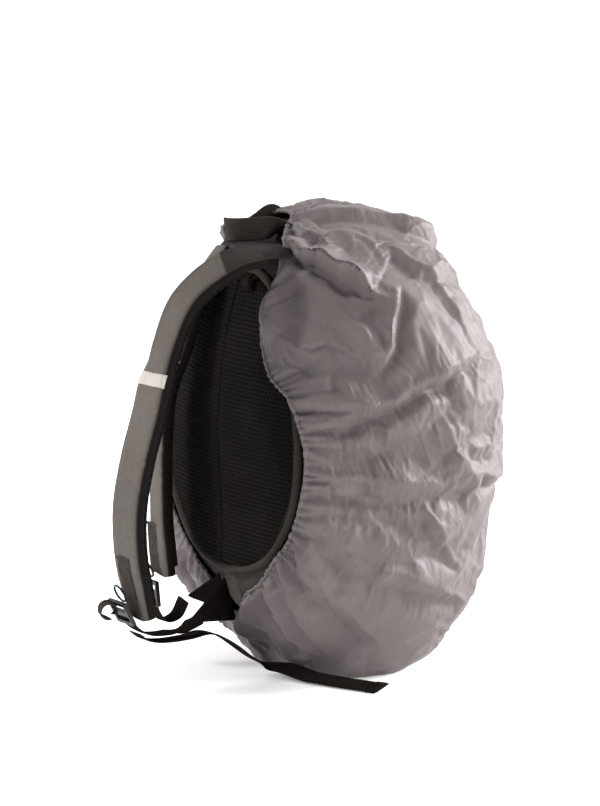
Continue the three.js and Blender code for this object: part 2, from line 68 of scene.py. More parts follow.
PANEL_BOTTOM_Z = 99
PANEL_EDGE_DEPTH = 8
PIPING_RADIUS = 4.5
GAP = 0.35
STRAP_WIDTH = 60
STRAP_THICKNESS = 12
WEB_WIDTH = 25
WEB_THICKNESS = 1.8
BACK = [(0, 44), (8, 38), (30, 29), (50, 15), (70, 3), (90, -4), (143, -3), (215, 0), (315, 8), (412, 20),
        (437, 27), (450, 42), (460, 62), (468, 100)]
FRONT = [(0, 134), (5, 158), (15, 186), (40, 213), (88, 238), (137, 249), (186, 262), (235, 269), (300, 269),
         (332, 255), (356, 243), (405, 218), (429, 203), (441, 189), (454, 162), (468, 122)]
RIDGE = [(99, 3), (118, 6), (159, 9), (208, 16), (262, 22), (335, 20), (395, 9), (410, 4)]
PANEL_HALF = [(99, 4), (106, 42), (118, 74), (143, 104), (182, 130), (215, 137), (250, 134), (290, 122),
              (340, 100), (380, 72), (402, 44), (410, 18)]
HEM_LOWER = [(120, 287), (137, 250), (140, 205), (132, 170), (110, 132)]
HEM_LEFT = [(0, 459), (34, 453), (60, 440), (68, 418), (67, 385), (72, 350), (88, 314), *HEM_LOWER,
            (66, 101), (36, 84), (17, 62), (8, 40), (0, 27)]
HEM_RIGHT = [(0, 459), (34, 453), (64, 440), (86, 418), (92, 385), (94, 350), (101, 314), *HEM_LOWER,
             (72, 102), (44, 84), (26, 60), (12, 36), (0, 27)]
LEFT_ROUTE = [(60, -17, 436), (60, -44, 431), (60, -80, 412), (60, -104, 388), (60, -123, 344), (60, -138, 284),
              (60, -152, 236), (60, -161, 188), (60, -160, 140), (60, -153, 104), (60, -144, 72)]
RIGHT_ROUTE = [(-46, 5, 424), (-46, -3, 414), (-47, -11, 402), (-49, -19, 388), (-52, -31, 366),
               (-56, -46, 330), (-59, -57, 285), (-60, -62, 230), (-60, -62, 170), (-60, -60, 120),
               (-59, -57, 90)]
HANDLE = [(27, 46, 447), (26, 36, 449), (25, 24, 450), (23, 8, 449.5), (17, -7, 449), (7, -14, 448.5),
          (-4, -11, 447), (-13, 0, 444), (-18, 14, 442), (-21, 28, 443), (-21, 40, 449), (-20, 50, 454.5),
          (-19, 58, 446)]
# The free webbing, from the left ladder lock back past the base tab and out over the floor.
TAIL = [(59, -147, 61), (58, -138, 55), (56, -127, 51.5), (54, -115, 50), (50, -86, 50), (46, -62, 52),
        (43, -42, 45), (40, -25, 34), (38, -10, 23), (41, 8, 12), (57, 22, 10), (92, 35, 9), (132, 52, 8),
        (170, 70, 8)]
LEFT_WEB = [(51, -83, 62), (54, -100, 59.5), (57, -117, 58), (59, -136, 60), (60, -149, 67)]
RIGHT_WEB = [(-54, -32, 66), (-57, -40, 50), (-59, -53, 46), (-60, -63, 58)]
X_AXIS = np.array([1.0, 0.0, 0.0])
Z_AXIS = np.array([0.0, 0.0, 1.0])
FULL_TURN = 2 * math.pi


def xyz(x, y, z):
    """Points from three coordinates of any shapes that go together."""
    return np.stack(np.broadcast_arrays(x, y, z), axis=-1)


def row(points):
    """Design points in the row frame's metres."""
    return (np.asarray(points, float) - SHIFT) * MM


def wrapped(grid):
    """A grid with its first row again after the last."""
    return np.concatenate([grid, grid[:1]])


# ---------------------------------------------------------------- the body's outline
def profile(table, z):
    t = np.asarray(table, float)
    z = np.clip(z, t[0, 0], t[-1, 0])
    slope = np.diff(t[:, 1]) / np.diff(t[:, 0])
    tangent = np.concatenate([slope[:1], (slope[:-1] + slope[1:]) / 2, slope[-1:]])
    i = np.clip(np.searchsorted(t[:, 0], z, side="left") - 1, 0, len(t) - 2)
    h = t[i + 1, 0] - t[i, 0]
    u = (z - t[i, 0]) / h
    start = (2 * u**3 - 3 * u**2 + 1) * t[i, 1] + (u**3 - 2 * u**2 + u) * h * tangent[i]
    return start + (-2 * u**3 + 3 * u**2) * t[i + 1, 1] + (u**3 - u**2) * h * tangent[i + 1]


def half_width(z):
    dome = np.sqrt(np.maximum(0, DOME_RADIUS**2 - (z - DOME_CENTRE_Z) ** 2))
    low = DOME_RADIUS * (1 - 0.45 * (np.maximum(0, 200 - z) / 200) ** 3.2)
    return np.where(z > DOME_CENTRE_Z, dome, low)


def pad_depth(x, z):
    across = np.minimum(1, np.abs(x) / np.maximum(1, profile(PANEL_HALF, z)))
    return PANEL_EDGE_DEPTH * (1 - 0.25 * across**6) + profile(RIDGE, z) * (1 - across**1.6) * 0.8


def panel_inside(z, margin):
    """Half width of the back panel's outline, drawn in by a margin all round."""
    half = np.full(np.shape(z), np.inf)
    for a in range(-90, 91, 10):
        level = z + margin * math.sin(a * DEGREE)
        inside = (level >= PANEL_BOTTOM_Z) & (level <= PANEL_TOP_Z)
        half = np.minimum(half, np.where(inside, profile(PANEL_HALF, level), 0) - margin * math.cos(a * DEGREE))
    return half


def lift_over_panel(x, z):
    inside = (profile(PANEL_HALF, z) + 16 - np.abs(x)) / 14
    below = (PANEL_TOP_Z + 15 - z) / 15
    blend = np.clip(np.minimum(inside, below), 0, 1)
    return 1.2 + (np.maximum(pad_depth(x, z), 2 * PIPING_RADIUS) + 6.5) * blend * blend * (3 - 2 * blend)


def in_body(p, lift):
    x, y, z = p[..., 0], p[..., 1], p[..., 2]
    back = profile(BACK, z)
    raised = lift_over_panel(x, z) if lift else 0
    s = np.maximum(0, (y - back) / (profile(FRONT, z) - back))
    ends = np.minimum(1, np.abs(z - MIDDLE_Z) / MIDDLE_Z)
    flat = 0.91 - 0.55 * ends**4
    rear = 1 - (1 - flat) * (np.maximum(0, REAR_SHARE - s) / REAR_SHARE) ** 2.2
    front = np.maximum(0, 1 - (np.clip(s - REAR_SHARE, 0, FRONT_SHARE) / FRONT_SHARE) ** 2.5) ** 0.4
    inside = np.abs(x) < half_width(z) * np.where(s < REAR_SHARE, rear, front)
    return inside & (z > 0) & (z < HEIGHT) & (y >= back - raised) & (s < 1)


def reach(direction, lift):
    near = np.zeros(direction.shape[:-1])
    far = near + 420
    for _ in range(22):
        mid = (near + far) / 2
        inside = in_body(CORE + direction * mid[..., None], lift)
        near = np.where(inside, mid, near)
        far = np.where(inside, far, mid)
    return near


def aim(turn, tilt):
    s = np.sin(tilt)
    return xyz(np.cos(turn) * s, -np.cos(tilt), np.sin(turn) * s)


# ---------------------------------------------------------------- curves and smooth noise
def smooth(points, count, closed=False):
    """A centripetal Catmull-Rom curve through the points, as count + 1 evenly spaced points."""
    p = np.asarray(points, float)
    n = len(p)
    dense = []
    for i in range(n if closed else n - 1):
        p1, p2 = p[i], p[(i + 1) % n]
        p0 = p[i - 1] if closed or i > 0 else 2 * p[0] - p[1]
        p3 = p[(i + 2) % n] if closed or i + 2 < n else 2 * p[-1] - p[-2]
        d0, d1, d2 = (max(1e-4, np.linalg.norm(b - a)) ** 0.5 for a, b in ((p0, p1), (p1, p2), (p2, p3)))
        t1 = ((p1 - p0) / d0 - (p2 - p0) / (d0 + d1) + (p2 - p1) / d1) * d1
        t2 = ((p2 - p1) / d1 - (p3 - p1) / (d1 + d2) + (p3 - p2) / d2) * d1
        u = np.linspace(0, 1, 40, endpoint=False)[:, None]
        dense.append((2 * u**3 - 3 * u**2 + 1) * p1 + (u**3 - 2 * u**2 + u) * t1
                     + (-2 * u**3 + 3 * u**2) * p2 + (u**3 - u**2) * t2)
    dense = np.concatenate([*dense, p[:1] if closed else p[-1:]])
    along = lengths(dense)
    at = np.linspace(0, along[-1], count + 1)
    line = resampled(dense, along, at)
    return line[:-1] if closed else line


def unit(v):
    v = np.asarray(v, float)
    return v / np.maximum(np.linalg.norm(v, axis=-1, keepdims=True), 1e-12)


def resampled(line, along, at):
    """A line's points, given at some lengths along it, at others."""
    return np.stack([np.interp(at, along, line[:, k]) for k in range(3)], axis=1)


def tangents(line, closed=False):
    if closed:
        return unit(np.roll(line, -1, 0) - np.roll(line, 1, 0))
    return unit(np.gradient(line, axis=0))


def lengths(line):
    return np.concatenate([[0], np.cumsum(np.linalg.norm(np.diff(line, axis=0), axis=1))])


LATTICE = 32


def noise(p, seed):
    """Smooth noise from -1 to 1 with cells one unit wide, at points of any shape (..., 3)."""
    grid = np.random.default_rng(seed).uniform(-1, 1, (LATTICE,) * 3)
    p = np.asarray(p, float) + 100.37
    i = np.floor(p).astype(int)
    f = p - i
    f = f * f * f * (f * (f * 6 - 15) + 10)
    total = 0
    for corner in range(8):
        step = np.array([corner & 1, corner >> 1 & 1, corner >> 2 & 1])
        weight = np.prod(np.where(step, f, 1 - f), axis=-1)
        cell = (i + step) % LATTICE
        total = total + weight * grid[cell[..., 0], cell[..., 1], cell[..., 2]]
    return total * 1.4


def ease(x, low, high):
    u = np.clip((x - low) / (high - low), 0, 1)
    return u * u * (3 - 2 * u)


def bump01(x, centre, half):
    """1 at centre, easing to 0 at half away."""
    u = np.clip(1 - np.abs(x - centre) / half, 0, 1)
    return u * u * (3 - 2 * u)


def flattened(turn, flat_x, flat_y):
    """The cosine and sine of a turn with their signs kept and the corners filled out."""
    c, s = np.cos(turn), np.sin(turn)
    return np.sign(c) * np.abs(c) ** flat_x, np.sign(s) * np.abs(s) ** flat_y


# ---------------------------------------------------------------- meshes
def shown(name, data):
    made = bpy.data.objects.new(name, data)
    bpy.context.scene.collection.objects.link(made)
    return made


def skin(name, points, look, around=False, along=False, uv=None, cap=False, dark=None):
    """A mesh from a grid of design points: around closes the first direction, along the second."""
    points = np.asarray(points, float)
    rows, columns = points.shape[:2]
    i, k = np.meshgrid(np.arange(rows - (not around)), np.arange(columns - (not along)), indexing="ij")
    corner_i = np.stack([i, i + 1, i + 1, i], axis=-1).reshape(-1, 4)
    corner_k = np.stack([k, k, k + 1, k + 1], axis=-1).reshape(-1, 4)
    faces = (corner_i % rows) * columns + corner_k % columns
    vertices = row(points).reshape(-1, 3)
    extra = []
    if cap:  # a fan over each end of a closed tube whose rings run in the first direction
        for column, flip in ((0, False), (columns - 1, True)):
            centre = len(vertices)
            vertices = np.concatenate([vertices, vertices[column::columns][:rows].mean(0, keepdims=True)])
            for a in range(rows):
                b = (a + 1) % rows
                pair = (b * columns + column, a * columns + column)
                extra.append((centre, *(pair[::-1] if flip else pair)))
    mesh = bpy.data.meshes.new(name)
    count = len(faces)
    mesh.vertices.add(len(vertices))
    mesh.vertices.foreach_set("co", vertices.astype(np.float32).ravel())
    corners = np.concatenate([faces.ravel(), np.array(extra, int).ravel()])
    mesh.loops.add(len(corners))
    mesh.loops.foreach_set("vertex_index", corners.astype(np.int32))
    starts = np.concatenate([np.arange(count) * 4, count * 4 + np.arange(len(extra)) * 3])
    mesh.polygons.add(len(starts))
    mesh.polygons.foreach_set("loop_start", starts.astype(np.int32))
    mesh.update(calc_edges=True)
    mesh.polygons.foreach_set("use_smooth", np.full(len(starts), True))
    if uv is not None:
        layer = mesh.uv_layers.new(name="Cloth")
        flat = np.zeros((len(corners), 2), np.float32)
        picked = uv[np.minimum(corner_i, uv.shape[0] - 1), np.minimum(corner_k, uv.shape[1] - 1)]
        flat[: count * 4] = picked.reshape(-1, 2)
        layer.data.foreach_set("uv", flat.ravel())
    if dark is not None:
        shade_layer = mesh.attributes.new("dark", "FLOAT", "POINT")
        values = np.zeros(len(vertices), np.float32)
        values[: dark.size] = dark.ravel()
        shade_layer.data.foreach_set("value", values)
    mesh.validate()
    mesh.materials.append(look)
    return shown(name, mesh)


def frame_along(line, across, closed=False):
    """Width and thickness directions at each point of a line."""
    t = tangents(line, closed)
    wide = np.broadcast_to(np.asarray(across, float), line.shape)
    wide = unit(wide - t * (wide * t).sum(-1, keepdims=True))
    return wide, np.cross(t, wide)


def map_of(across, along):
    return np.stack(np.meshgrid(across, along, indexing="ij"), axis=-1)


def tube(name, line, radius, look, sides=10, closed=False):
    """A round tube; radius is a number or one number for each point."""
    line = np.asarray(line, float)
    wide, thick = frame_along(line, np.array([0.31, 0.87, 0.38]), closed)
    turn = np.linspace(0, FULL_TURN, sides, endpoint=False)[:, None, None]
    size = np.broadcast_to(np.asarray(radius, float), (len(line),))[None, :, None]
    points = line + size * (np.cos(turn) * wide + np.sin(turn) * thick)
    u = lengths(line) * MM
    around = np.linspace(0, FULL_TURN * float(size.mean()) * MM, sides + 1)
    uv = map_of(around, np.append(u, u[-1] * (1 + 1 / len(u))))[..., ::-1]
    return skin(name, points, look, around=True, along=closed, uv=uv, cap=not closed)


def strip(name, line, across, width, thickness, look, sides=20, wave=0.0, seed=0):
    """Flat webbing with soft edges along a line."""
    line = np.asarray(line, float)
    wide, thick = frame_along(line, across)
    u, v = flattened(np.linspace(0, FULL_TURN, sides, endpoint=False)[:, None, None], 0.5, 0.6)
    w = np.broadcast_to(np.asarray(width, float), (len(line),))[None, :, None]
    h = np.broadcast_to(np.asarray(thickness, float), (len(line),))[None, :, None]
    at = xyz(lengths(line)[None, :] / 17, u[..., 0], 0)
    bow = wave * noise(at, seed)[..., None]
    points = line + u * wide * w / 2 + (v * h / 2 + bow) * thick
    side_uv = np.append(u[:, 0, 0], u[0, 0, 0]) * float(w.mean()) / 2 * MM
    uv = map_of(side_uv, lengths(line) * MM)[..., ::-1]
    return skin(name, points, look, around=True, uv=uv, cap=True)


def joined(name, pieces):
    """One object from several."""
    bpy.ops.object.select_all(action="DESELECT")
    for p in pieces:
        p.select_set(True)
    bpy.context.view_layer.objects.active = pieces[0]
    bpy.ops.object.join()
    pieces[0].name = name
    pieces[0].data.name = name
    return pieces[0]


def stitches(name, line, normal, look, pitch, length, radius):
    """A row of sewn stitches: short thread ends that rise out of the cloth."""
    line = np.asarray(line, float)
    along = lengths(line)
    count = max(2, int(along[-1] / pitch))
    normal = np.broadcast_to(np.asarray(normal, float), line.shape)
    at = (np.arange(count) + 0.5) * along[-1] / count
    rings = []
    sides = 5
    turn = np.linspace(0, FULL_TURN, sides, endpoint=False)[:, None]
    for f, size in ((-0.5, 0.35), (-0.25, 1), (0.25, 1), (0.5, 0.35)):
        where = np.clip(at + f * length, 0, along[-1])
        centre = resampled(line, along, where)
        up = unit(resampled(normal, along, where))
        ahead = unit(resampled(line, along, where + 0.5) - resampled(line, along, where - 0.5))
        across = np.cross(ahead, up)
        lift = radius * (0.1 if abs(f) > 0.4 else 0.7)
        ring = centre[:, None] + up[:, None] * lift + radius * size * (
            np.cos(turn)[None] * across[:, None] + np.sin(turn)[None] * up[:, None])
        rings.append(ring)
    rings = np.stack(rings, 1)
    vertices = row(rings.reshape(-1, 3)).tolist()
    faces = []
    for s in range(count):
        base = s * 4 * sides
        for r in range(3):
            for a in range(sides):
                b = (a + 1) % sides
                faces.append((base + r * sides + a, base + r * sides + b,
                              base + (r + 1) * sides + b, base + (r + 1) * sides + a))
        faces.append(tuple(base + a for a in range(sides))[::-1])
        faces.append(tuple(base + 3 * sides + a for a in range(sides)))
    mesh = bpy.data.meshes.new(name)
    mesh.from_pydata(vertices, [], faces)
    mesh.polygons.foreach_set("use_smooth", np.ones(len(faces), bool))
    mesh.materials.append(look)
    return shown(name, mesh)


# ---------------------------------------------------------------- materials
class Look:
    """A node material, built a node at a time."""

    def __init__(self, name, color, roughness=0.7, **sockets):
        self.material = bpy.data.materials.new(name)
        self.material.use_nodes = True
        self.tree = self.material.node_tree
        self.shader = self.tree.nodes["Principled BSDF"]
        self.color = (*color, 1)
        self.shader.inputs["Base Color"].default_value = self.color
        self.shader.inputs["Roughness"].default_value = roughness
        for key, value in sockets.items():
            self.shader.inputs[key.replace("_", " ")].default_value = value
        self.height = None

    def add(self, kind, settings=None, **inputs):
        made = self.tree.nodes.new("ShaderNode" + kind)
        for key, value in (settings or {}).items():
            setattr(made, key, value)
        for key, value in inputs.items():
            slot = made.inputs[int(key[1:])] if key[0] == "_" else made.inputs[key]
            if isinstance(value, bpy.types.NodeSocket):
                self.tree.links.new(value, slot)
            else:
                slot.default_value = value
        return made.outputs[0]

    def place(self):
        return self.add("TexCoord").node.outputs["Object"]

    def cloth_uv(self):
        return self.add("UVMap", {"uv_map": "Cloth"})

    def tint(self, share, factor):
        """Multiplies the colour by factor where share is 1."""
        shade = self.add("Mix", {"data_type": "RGBA", "blend_type": "MULTIPLY"}, _0=share, _6=self.color,
                         _7=(factor, factor, factor, 1))
        self.color = shade.node.outputs[2]
        self.tree.links.new(self.color, self.shader.inputs["Base Color"])

    def share(self, value, low, high):
        return self.add("MapRange", {"interpolation_type": "SMOOTHSTEP"}, _0=value, _1=low, _2=high)

    def mottle(self, scale, factor, low=0.35, high=0.7):
        noise_node = self.add("TexNoise", None, Vector=self.place(), Scale=scale, Detail=4)
        self.tint(self.share(noise_node, low, high), factor)

    def product(self, first, second):
        return self.add("Math", {"operation": "MULTIPLY"}, _0=first, _1=second)

    def waves(self, pitch, axis, vector=None, profile="SIN"):
        return self.add("TexWave", {"bands_direction": axis, "wave_profile": profile},
                        Vector=vector or self.cloth_uv(), Scale=0.31416 / pitch).node.outputs[1]

    def weave(self, pitch, strength, depth):
        """A plain weave on the cloth's own map."""
        self.bump(self.product(self.waves(pitch, "X"), self.waves(pitch, "Y")), strength, depth)

    def bump(self, height, strength, depth):
        made = self.add("Bump", None, Height=height, Strength=strength, Distance=depth)
        if self.height is not None:
            self.tree.links.new(self.height, made.node.inputs["Normal"])
        self.height = made
        self.tree.links.new(made, self.shader.inputs["Normal"])

    def fuzz(self, scale, strength, depth):
        self.bump(self.add("TexNoise", None, Vector=self.place(), Scale=scale, Detail=3.0), strength, depth)

    # Darkens the colour where the mesh's dark attribute is 1; on the spacer mesh that attribute marks the holes,
    # and the darkening is painted shade.
    def darken_holes(self, factor):
        self.tint(self.add("Attribute", {"attribute_name": "dark"}).node.outputs["Fac"], factor)


def cover_look():
    k = Look("cover_cloth", (0.148, 0.123, 0.121), 0.55, Sheen_Weight=0.04, Specular_IOR_Level=0.28)
    k.mottle(9, 0.93)
    k.mottle(70, 0.96, 0.4, 0.65)
    warp = k.add("TexNoise", None, Vector=k.place(), Scale=14.0, Detail=2.0).node.outputs[1]
    bent = k.add("VectorMath", {"operation": "MULTIPLY_ADD"}, _0=warp, _1=(0.035,) * 3, _2=k.place())
    cells = k.add("TexVoronoi", {"feature": "DISTANCE_TO_EDGE"}, Vector=bent, Scale=26.0)
    patches = k.add("TexNoise", None, Vector=k.place(), Scale=11.0, Detail=1.0)
    k.bump(k.product(k.share(cells, 0.0, 0.09), k.share(patches, 0.42, 0.7)), 0.35, 0.0012)
    k.fuzz(120, 0.10, 0.0008)
    k.weave(0.0007, 0.12, 0.0001)
    return k.material


def pack_cloth_look(name, color, pitch=0.0009, roughness=0.82, holes_factor=None):
    k = Look(name, color, roughness, Sheen_Weight=0.02, Specular_IOR_Level=0.05)
    k.mottle(16, 0.86)
    k.mottle(240, 0.92, 0.45, 0.6)
    if holes_factor is not None:
        k.darken_holes(holes_factor)
    k.fuzz(55, 0.12, 0.0015)
    k.weave(pitch, 0.45, 0.0003)
    return k.material


def webbing_look(name, color, rib=0.0021):
    k = Look(name, color, 0.75, Sheen_Weight=0.0, Specular_IOR_Level=0.0)
    k.mottle(60, 0.8)
    slant = k.add("VectorRotate", {"rotation_type": "Z_AXIS"}, Vector=k.cloth_uv(), Angle=0.6)
    twill = k.waves(rib, "X", slant, "SAW")
    ribs = k.waves(rib * 1.6, "Y")
    k.bump(twill, 0.5, 0.0004)
    k.bump(ribs, 0.35, 0.0005)
    k.tint(twill, 0.7)
    return k.material


def mesh_look():
    k = Look("air_mesh", (0.012, 0.0105, 0.009), 0.9, Sheen_Weight=0.0, Specular_IOR_Level=0.04)
    k.mottle(18, 0.75)
    # Painted shade: the colour is darkened inside the holes, standing in for the shade that falls in their
    # depth.
    k.darken_holes(0.12)
    k.bump(k.waves(0.0011, "X"), 0.5, 0.0003)
    k.bump(k.waves(0.0014, "Y"), 0.4, 0.0003)
    k.fuzz(900, 0.35, 0.0003)
    return k.material


def plastic_look():
    k = Look("buckle_plastic", (0.010, 0.010, 0.010), 0.36, Specular_IOR_Level=0.35)
    k.mottle(130, 0.8)
    k.fuzz(1400, 0.12, 0.0001)
    return k.material


def simple_look(name, color, roughness, scale=150, **sockets):
    k = Look(name, color, roughness, **sockets)
    k.mottle(scale, 0.85)
    k.fuzz(scale * 4, 0.2, 0.0002)
    return k.material


def reflective_look():
    k = Look("reflective_tape", (0.44, 0.40, 0.37), 0.5, Sheen_Weight=0.02, Specular_IOR_Level=0.3)
    k.mottle(90, 0.93)
    k.bump(k.add("TexVoronoi", None, Vector=k.place(), Scale=1500.0), 0.25, 0.0001)
    return k.material


COVER = cover_look()
PACK_CLOTH = pack_cloth_look("pack_cloth", (0.080, 0.072, 0.066), holes_factor=0.35)
STRAP_CLOTH = pack_cloth_look("strap_cloth", (0.120, 0.104, 0.094), 0.0011, holes_factor=0.09)
YOKE_CLOTH = pack_cloth_look("yoke_cloth", (0.034, 0.029, 0.027), 0.0011)
AIR_MESH = mesh_look()
BINDING = pack_cloth_look("binding", (0.038, 0.033, 0.028), 0.0012, 0.7)
WEBBING = webbing_look("webbing", (0.020, 0.017, 0.015))
HANDLE_WEBBING = webbing_look("handle_webbing", (0.055, 0.048, 0.043), 0.0026)
TAPE_WEBBING = webbing_look("tape_webbing", (0.075, 0.065, 0.058))
THREAD = simple_look("thread", (0.020, 0.018, 0.017), 0.6)
PALE_THREAD = simple_look("pale_thread", (0.16, 0.14, 0.135), 0.6)
PLASTIC = plastic_look()
REFLECTIVE = reflective_look()
FOAM = simple_look("foam", (0.09, 0.09, 0.1), 0.95, 300)
BOARD = simple_look("board", (0.68, 0.68, 0.64), 0.5, 40)
ELASTIC = simple_look("elastic", (0.08, 0.07, 0.068), 0.8)
ZIP = simple_look("zip", (0.012, 0.012, 0.012), 0.6)
SLIDER = simple_look("slider", (0.03, 0.03, 0.032), 0.35, Metallic=0.9)


def place(piece, body, slot, *nodes):
    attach(piece, body)
    if nodes:
        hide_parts(*nodes)


def bend(piece, other, slot, start, end, *nodes):
    """A piece with its placement baked into its mesh, and the CAD nodes it stands for hidden."""
    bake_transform(piece)
    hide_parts(*nodes)


# ---------------------------------------------------------------- camera
CAMERA_AZIMUTH = 61 * DEGREE
CAMERA_ELEVATION = 9.5 * DEGREE
CAMERA_LENS = 420
TARGET = np.array([0.0130, 0.0235, 0.2680])
FRAME_HEIGHT_M = 0.806               # height of the view at the target

camera_data = bpy.data.cameras.new("camera")
camera_data.lens = CAMERA_LENS
camera_data.sensor_width = 36
camera_distance = FRAME_HEIGHT_M * CAMERA_LENS / camera_data.sensor_width
camera = shown("camera", camera_data)
RIGHT = np.array([math.cos(CAMERA_AZIMUTH), math.sin(CAMERA_AZIMUTH), 0])
NEAR = np.array([math.sin(CAMERA_AZIMUTH), -math.cos(CAMERA_AZIMUTH), 0])
towards = NEAR * math.cos(CAMERA_ELEVATION) + Z_AXIS * math.sin(CAMERA_ELEVATION)
camera.location = TARGET + towards * camera_distance
camera.rotation_euler = Vector(-towards).to_track_quat("-Z", "Y").to_euler()
camera_data.clip_start = 0.1
camera_data.clip_end = 100
bpy.context.scene.camera = camera

# ---------------------------------------------------------------- the free webbing tail, a flat cord
TAIL_STEPS = 150
TAIL_TURN = 24 / 44                  # where it comes down to the floor and turns forwards
TAIL_SETTLED_MM = 4                  # on the floor it lies flatter, and so lower, than its solid
TAIL_BENDS = (86, 2)                 # two steps along the tail, handed to bend as the span beside the strap
tail_line = smooth(TAIL, TAIL_STEPS)
tail_share = np.linspace(0, 1, TAIL_STEPS + 1)[:, None]
tail_line[:, 2] -= TAIL_SETTLED_MM * ease(tail_share[:, 0], 0.60, 0.74)
turned = ease(tail_share, TAIL_TURN - 0.06, TAIL_TURN + 0.09)
tail_across = unit(X_AXIS * (1 - turned) + np.array([0.27, -0.85, -0.19]) * turned)
tail = strip("left_webbing_tail_cord", tail_line, tail_across, WEB_WIDTH, WEB_THICKNESS, WEBBING, wave=0.35,
             seed=5)
bend(tail, "left_strap", "webbing", *tail_line[list(TAIL_BENDS)], "left_webbing_tail")
hem_fold = strip("webbing_tail_hem", tail_line[-7:-1], tail_across[-7:-1], WEB_WIDTH + 0.6, WEB_THICKNESS + 2.0,
                 WEBBING)
place(hem_fold, "pack", "webbing")


# ---------------------------------------------------------------- rain cover
def rim_columns(count):
    """The hem as a turn and a tilt round the core for each column of the cover."""
    outline = [(x, 0, z) for x, z in HEM_LEFT] + [(-x, 0, z) for x, z in HEM_RIGHT[-2:0:-1]]
    q = smooth(outline, count, closed=True)
    depth = np.arange(-60, 200, 0.5)
    points = np.repeat(q[:, None], len(depth), axis=1)
    points[..., 1] = depth
    first = in_body(points, True).argmax(axis=1)
    away = points[np.arange(count), first] - CORE
    return np.arctan2(away[:, 2], away[:, 0]), np.arccos(-away[:, 1] / np.linalg.norm(away, axis=1))


def relaxed(grid, passes, hold_first=True):
    """Evens out a grid that is closed in its first direction."""
    for _ in range(passes):
        new = (np.roll(grid, 1, 0) + np.roll(grid, -1, 0)) / 4 + grid / 2
        new[:, 1:-1] = (new[:, :-2] + new[:, 2:]) / 4 + new[:, 1:-1] / 2
        new[:, -1] = new[:, -1].mean(axis=0)
        if hold_first:
            new[:, 0] = grid[:, 0]
        grid = new
    return grid


def grid_normals(grid):
    along = np.gradient(grid, axis=1)
    around = np.roll(grid, -1, 0) - np.roll(grid, 1, 0)
    n = unit(np.cross(around, along))
    outward = np.sign(((grid - CORE) * n).sum(-1, keepdims=True).mean())
    return n * outward


# Folds: points along the fold, then how high the cloth stands on its left side, how deep it lies on the
# right, and how far each reaches. Left is above for a fold that runs forwards on the near side.
NEAR_FOLDS = [
    ([(27, 49, 455), (36, 92, 463), (50, 145, 455), (58, 190, 432), (60, 222, 395)], 5, 4, 30, 16),
    ([(58, 20, 440), (78, 32, 428), (109, 52, 413), (125, 67, 401), (136, 90, 390)], 20, 13, 22, 7),
    ([(35, 42, 452), (62, 55, 442), (82, 60, 428)], 5, 3, 9, 8),
    ([(157, 69, 324), (152, 80, 350), (140, 95, 380), (125, 108, 407)], 13, 8, 26, 11),
    ([(157, 69, 324), (146, 56, 359), (136, 45, 385)], 4, 4, 18, 12),
    ([(100, -5, 330), (128, 25, 345), (145, 45, 338), (157, 69, 324)], 4, 4, 18, 18),
    ([(138, 28, 345), (150, 35, 318), (150, 38, 292)], 3, 4, 14, 12),
    ([(140, -4, 264), (153, 45, 283), (159, 85, 298), (160, 125, 315), (150, 170, 328), (135, 208, 336)],
     9, 11, 22, 15),
    ([(143, -4, 246), (157, 60, 262), (160, 110, 284), (158, 150, 304), (148, 190, 322)], 4, 3, 11, 24),
    ([(146, -4, 219), (157, 45, 216), (160, 100, 213), (152, 177, 208), (140, 210, 212)], 4, 4, 26, 20),
    ([(136, -6, 172), (151, 29, 150), (155, 60, 131), (154, 118, 112), (130, 170, 90), (105, 200, 70)],
     5, 6, 22, 16),
    ([(136, -6, 178), (150, 35, 165), (157, 80, 150), (158, 130, 150), (150, 180, 160)], 4, 4, 20, 18),
    ([(125, -12, 158), (140, 2, 125), (141, 25, 100), (135, 55, 78), (118, 105, 36)], 5, 6, 20, 14),
    ([(95, -14, 130), (118, -5, 95), (112, 22, 55), (95, 52, 20)], 4, 6, 18, 14),
    ([(60, -10, 100), (82, 0, 70), (85, 25, 38), (75, 55, 12)], 4, 5, 14, 12),
    ([(110, 150, 420), (128, 165, 395), (135, 185, 360)], 3, 3, 22, 12),
    ([(95, 120, 440), (118, 150, 415), (120, 190, 385)], 3, 3, 16, 14),
    ([(150, 150, 250), (150, 180, 215), (140, 205, 160)], 4, 3, 16, 22),
    ([(158, 120, 190), (157, 150, 150), (140, 180, 110)], 3, 4, 22, 12),
]
LONG_FOLDS = 14


def fold_height(points, normals, fold):
    route, rise, fall, above, below = fold
    line = smooth(route, 48)
    share = np.linspace(0, 1, len(line))
    line = line + 2.2 * noise(line / 14, 11)[:, None] * unit(np.cross(tangents(line), line - CORE))
    t = tangents(line)
    flat = points.reshape(-1, 3)
    gap = np.linalg.norm(flat[:, None] - line[None, ::8], axis=2).min(1)
    near = np.flatnonzero(gap < 3.2 * max(above, below) + 12)
    away = flat[near][:, None] - line[None]
    nearest = (away**2).sum(-1).argmin(1)
    delta = away[np.arange(len(near)), nearest]
    side = np.cross(normals.reshape(-1, 3)[near], t[nearest])
    across = (delta * side).sum(-1)
    beyond = np.abs((delta * t[nearest]).sum(-1))
    distance = np.sqrt((delta**2).sum(-1)) * np.where(across > 0, 1, -1)
    at = share[nearest]
    taper = ease(at, -0.03, 0.22) * (1 - ease(at, 0.62, 1.0))
    taper = taper * (1 + 0.28 * noise(line / 21, 13)[nearest])
    width = 0.35 + 0.65 * np.clip(taper, 0, 1.2)
    x = distance / width
    lit = np.exp(-(np.maximum(x, 0) / above) ** 1.15)
    down = np.clip(-x / below, 0, 3)
    valley = (1 - down) * rise - down * fall
    past = np.clip(down - 1, 0, 2)
    valley = np.where(down < 1, valley, -fall * np.exp(-(past / 0.9) ** 1.5))
    height = np.where(x > 0, rise * lit, valley)
    height *= np.clip(taper, 0, 1.3) * np.exp(-(beyond / 12) ** 2)
    total = np.zeros(len(flat))
    total[near] = height
    return total.reshape(points.shape[:-1])


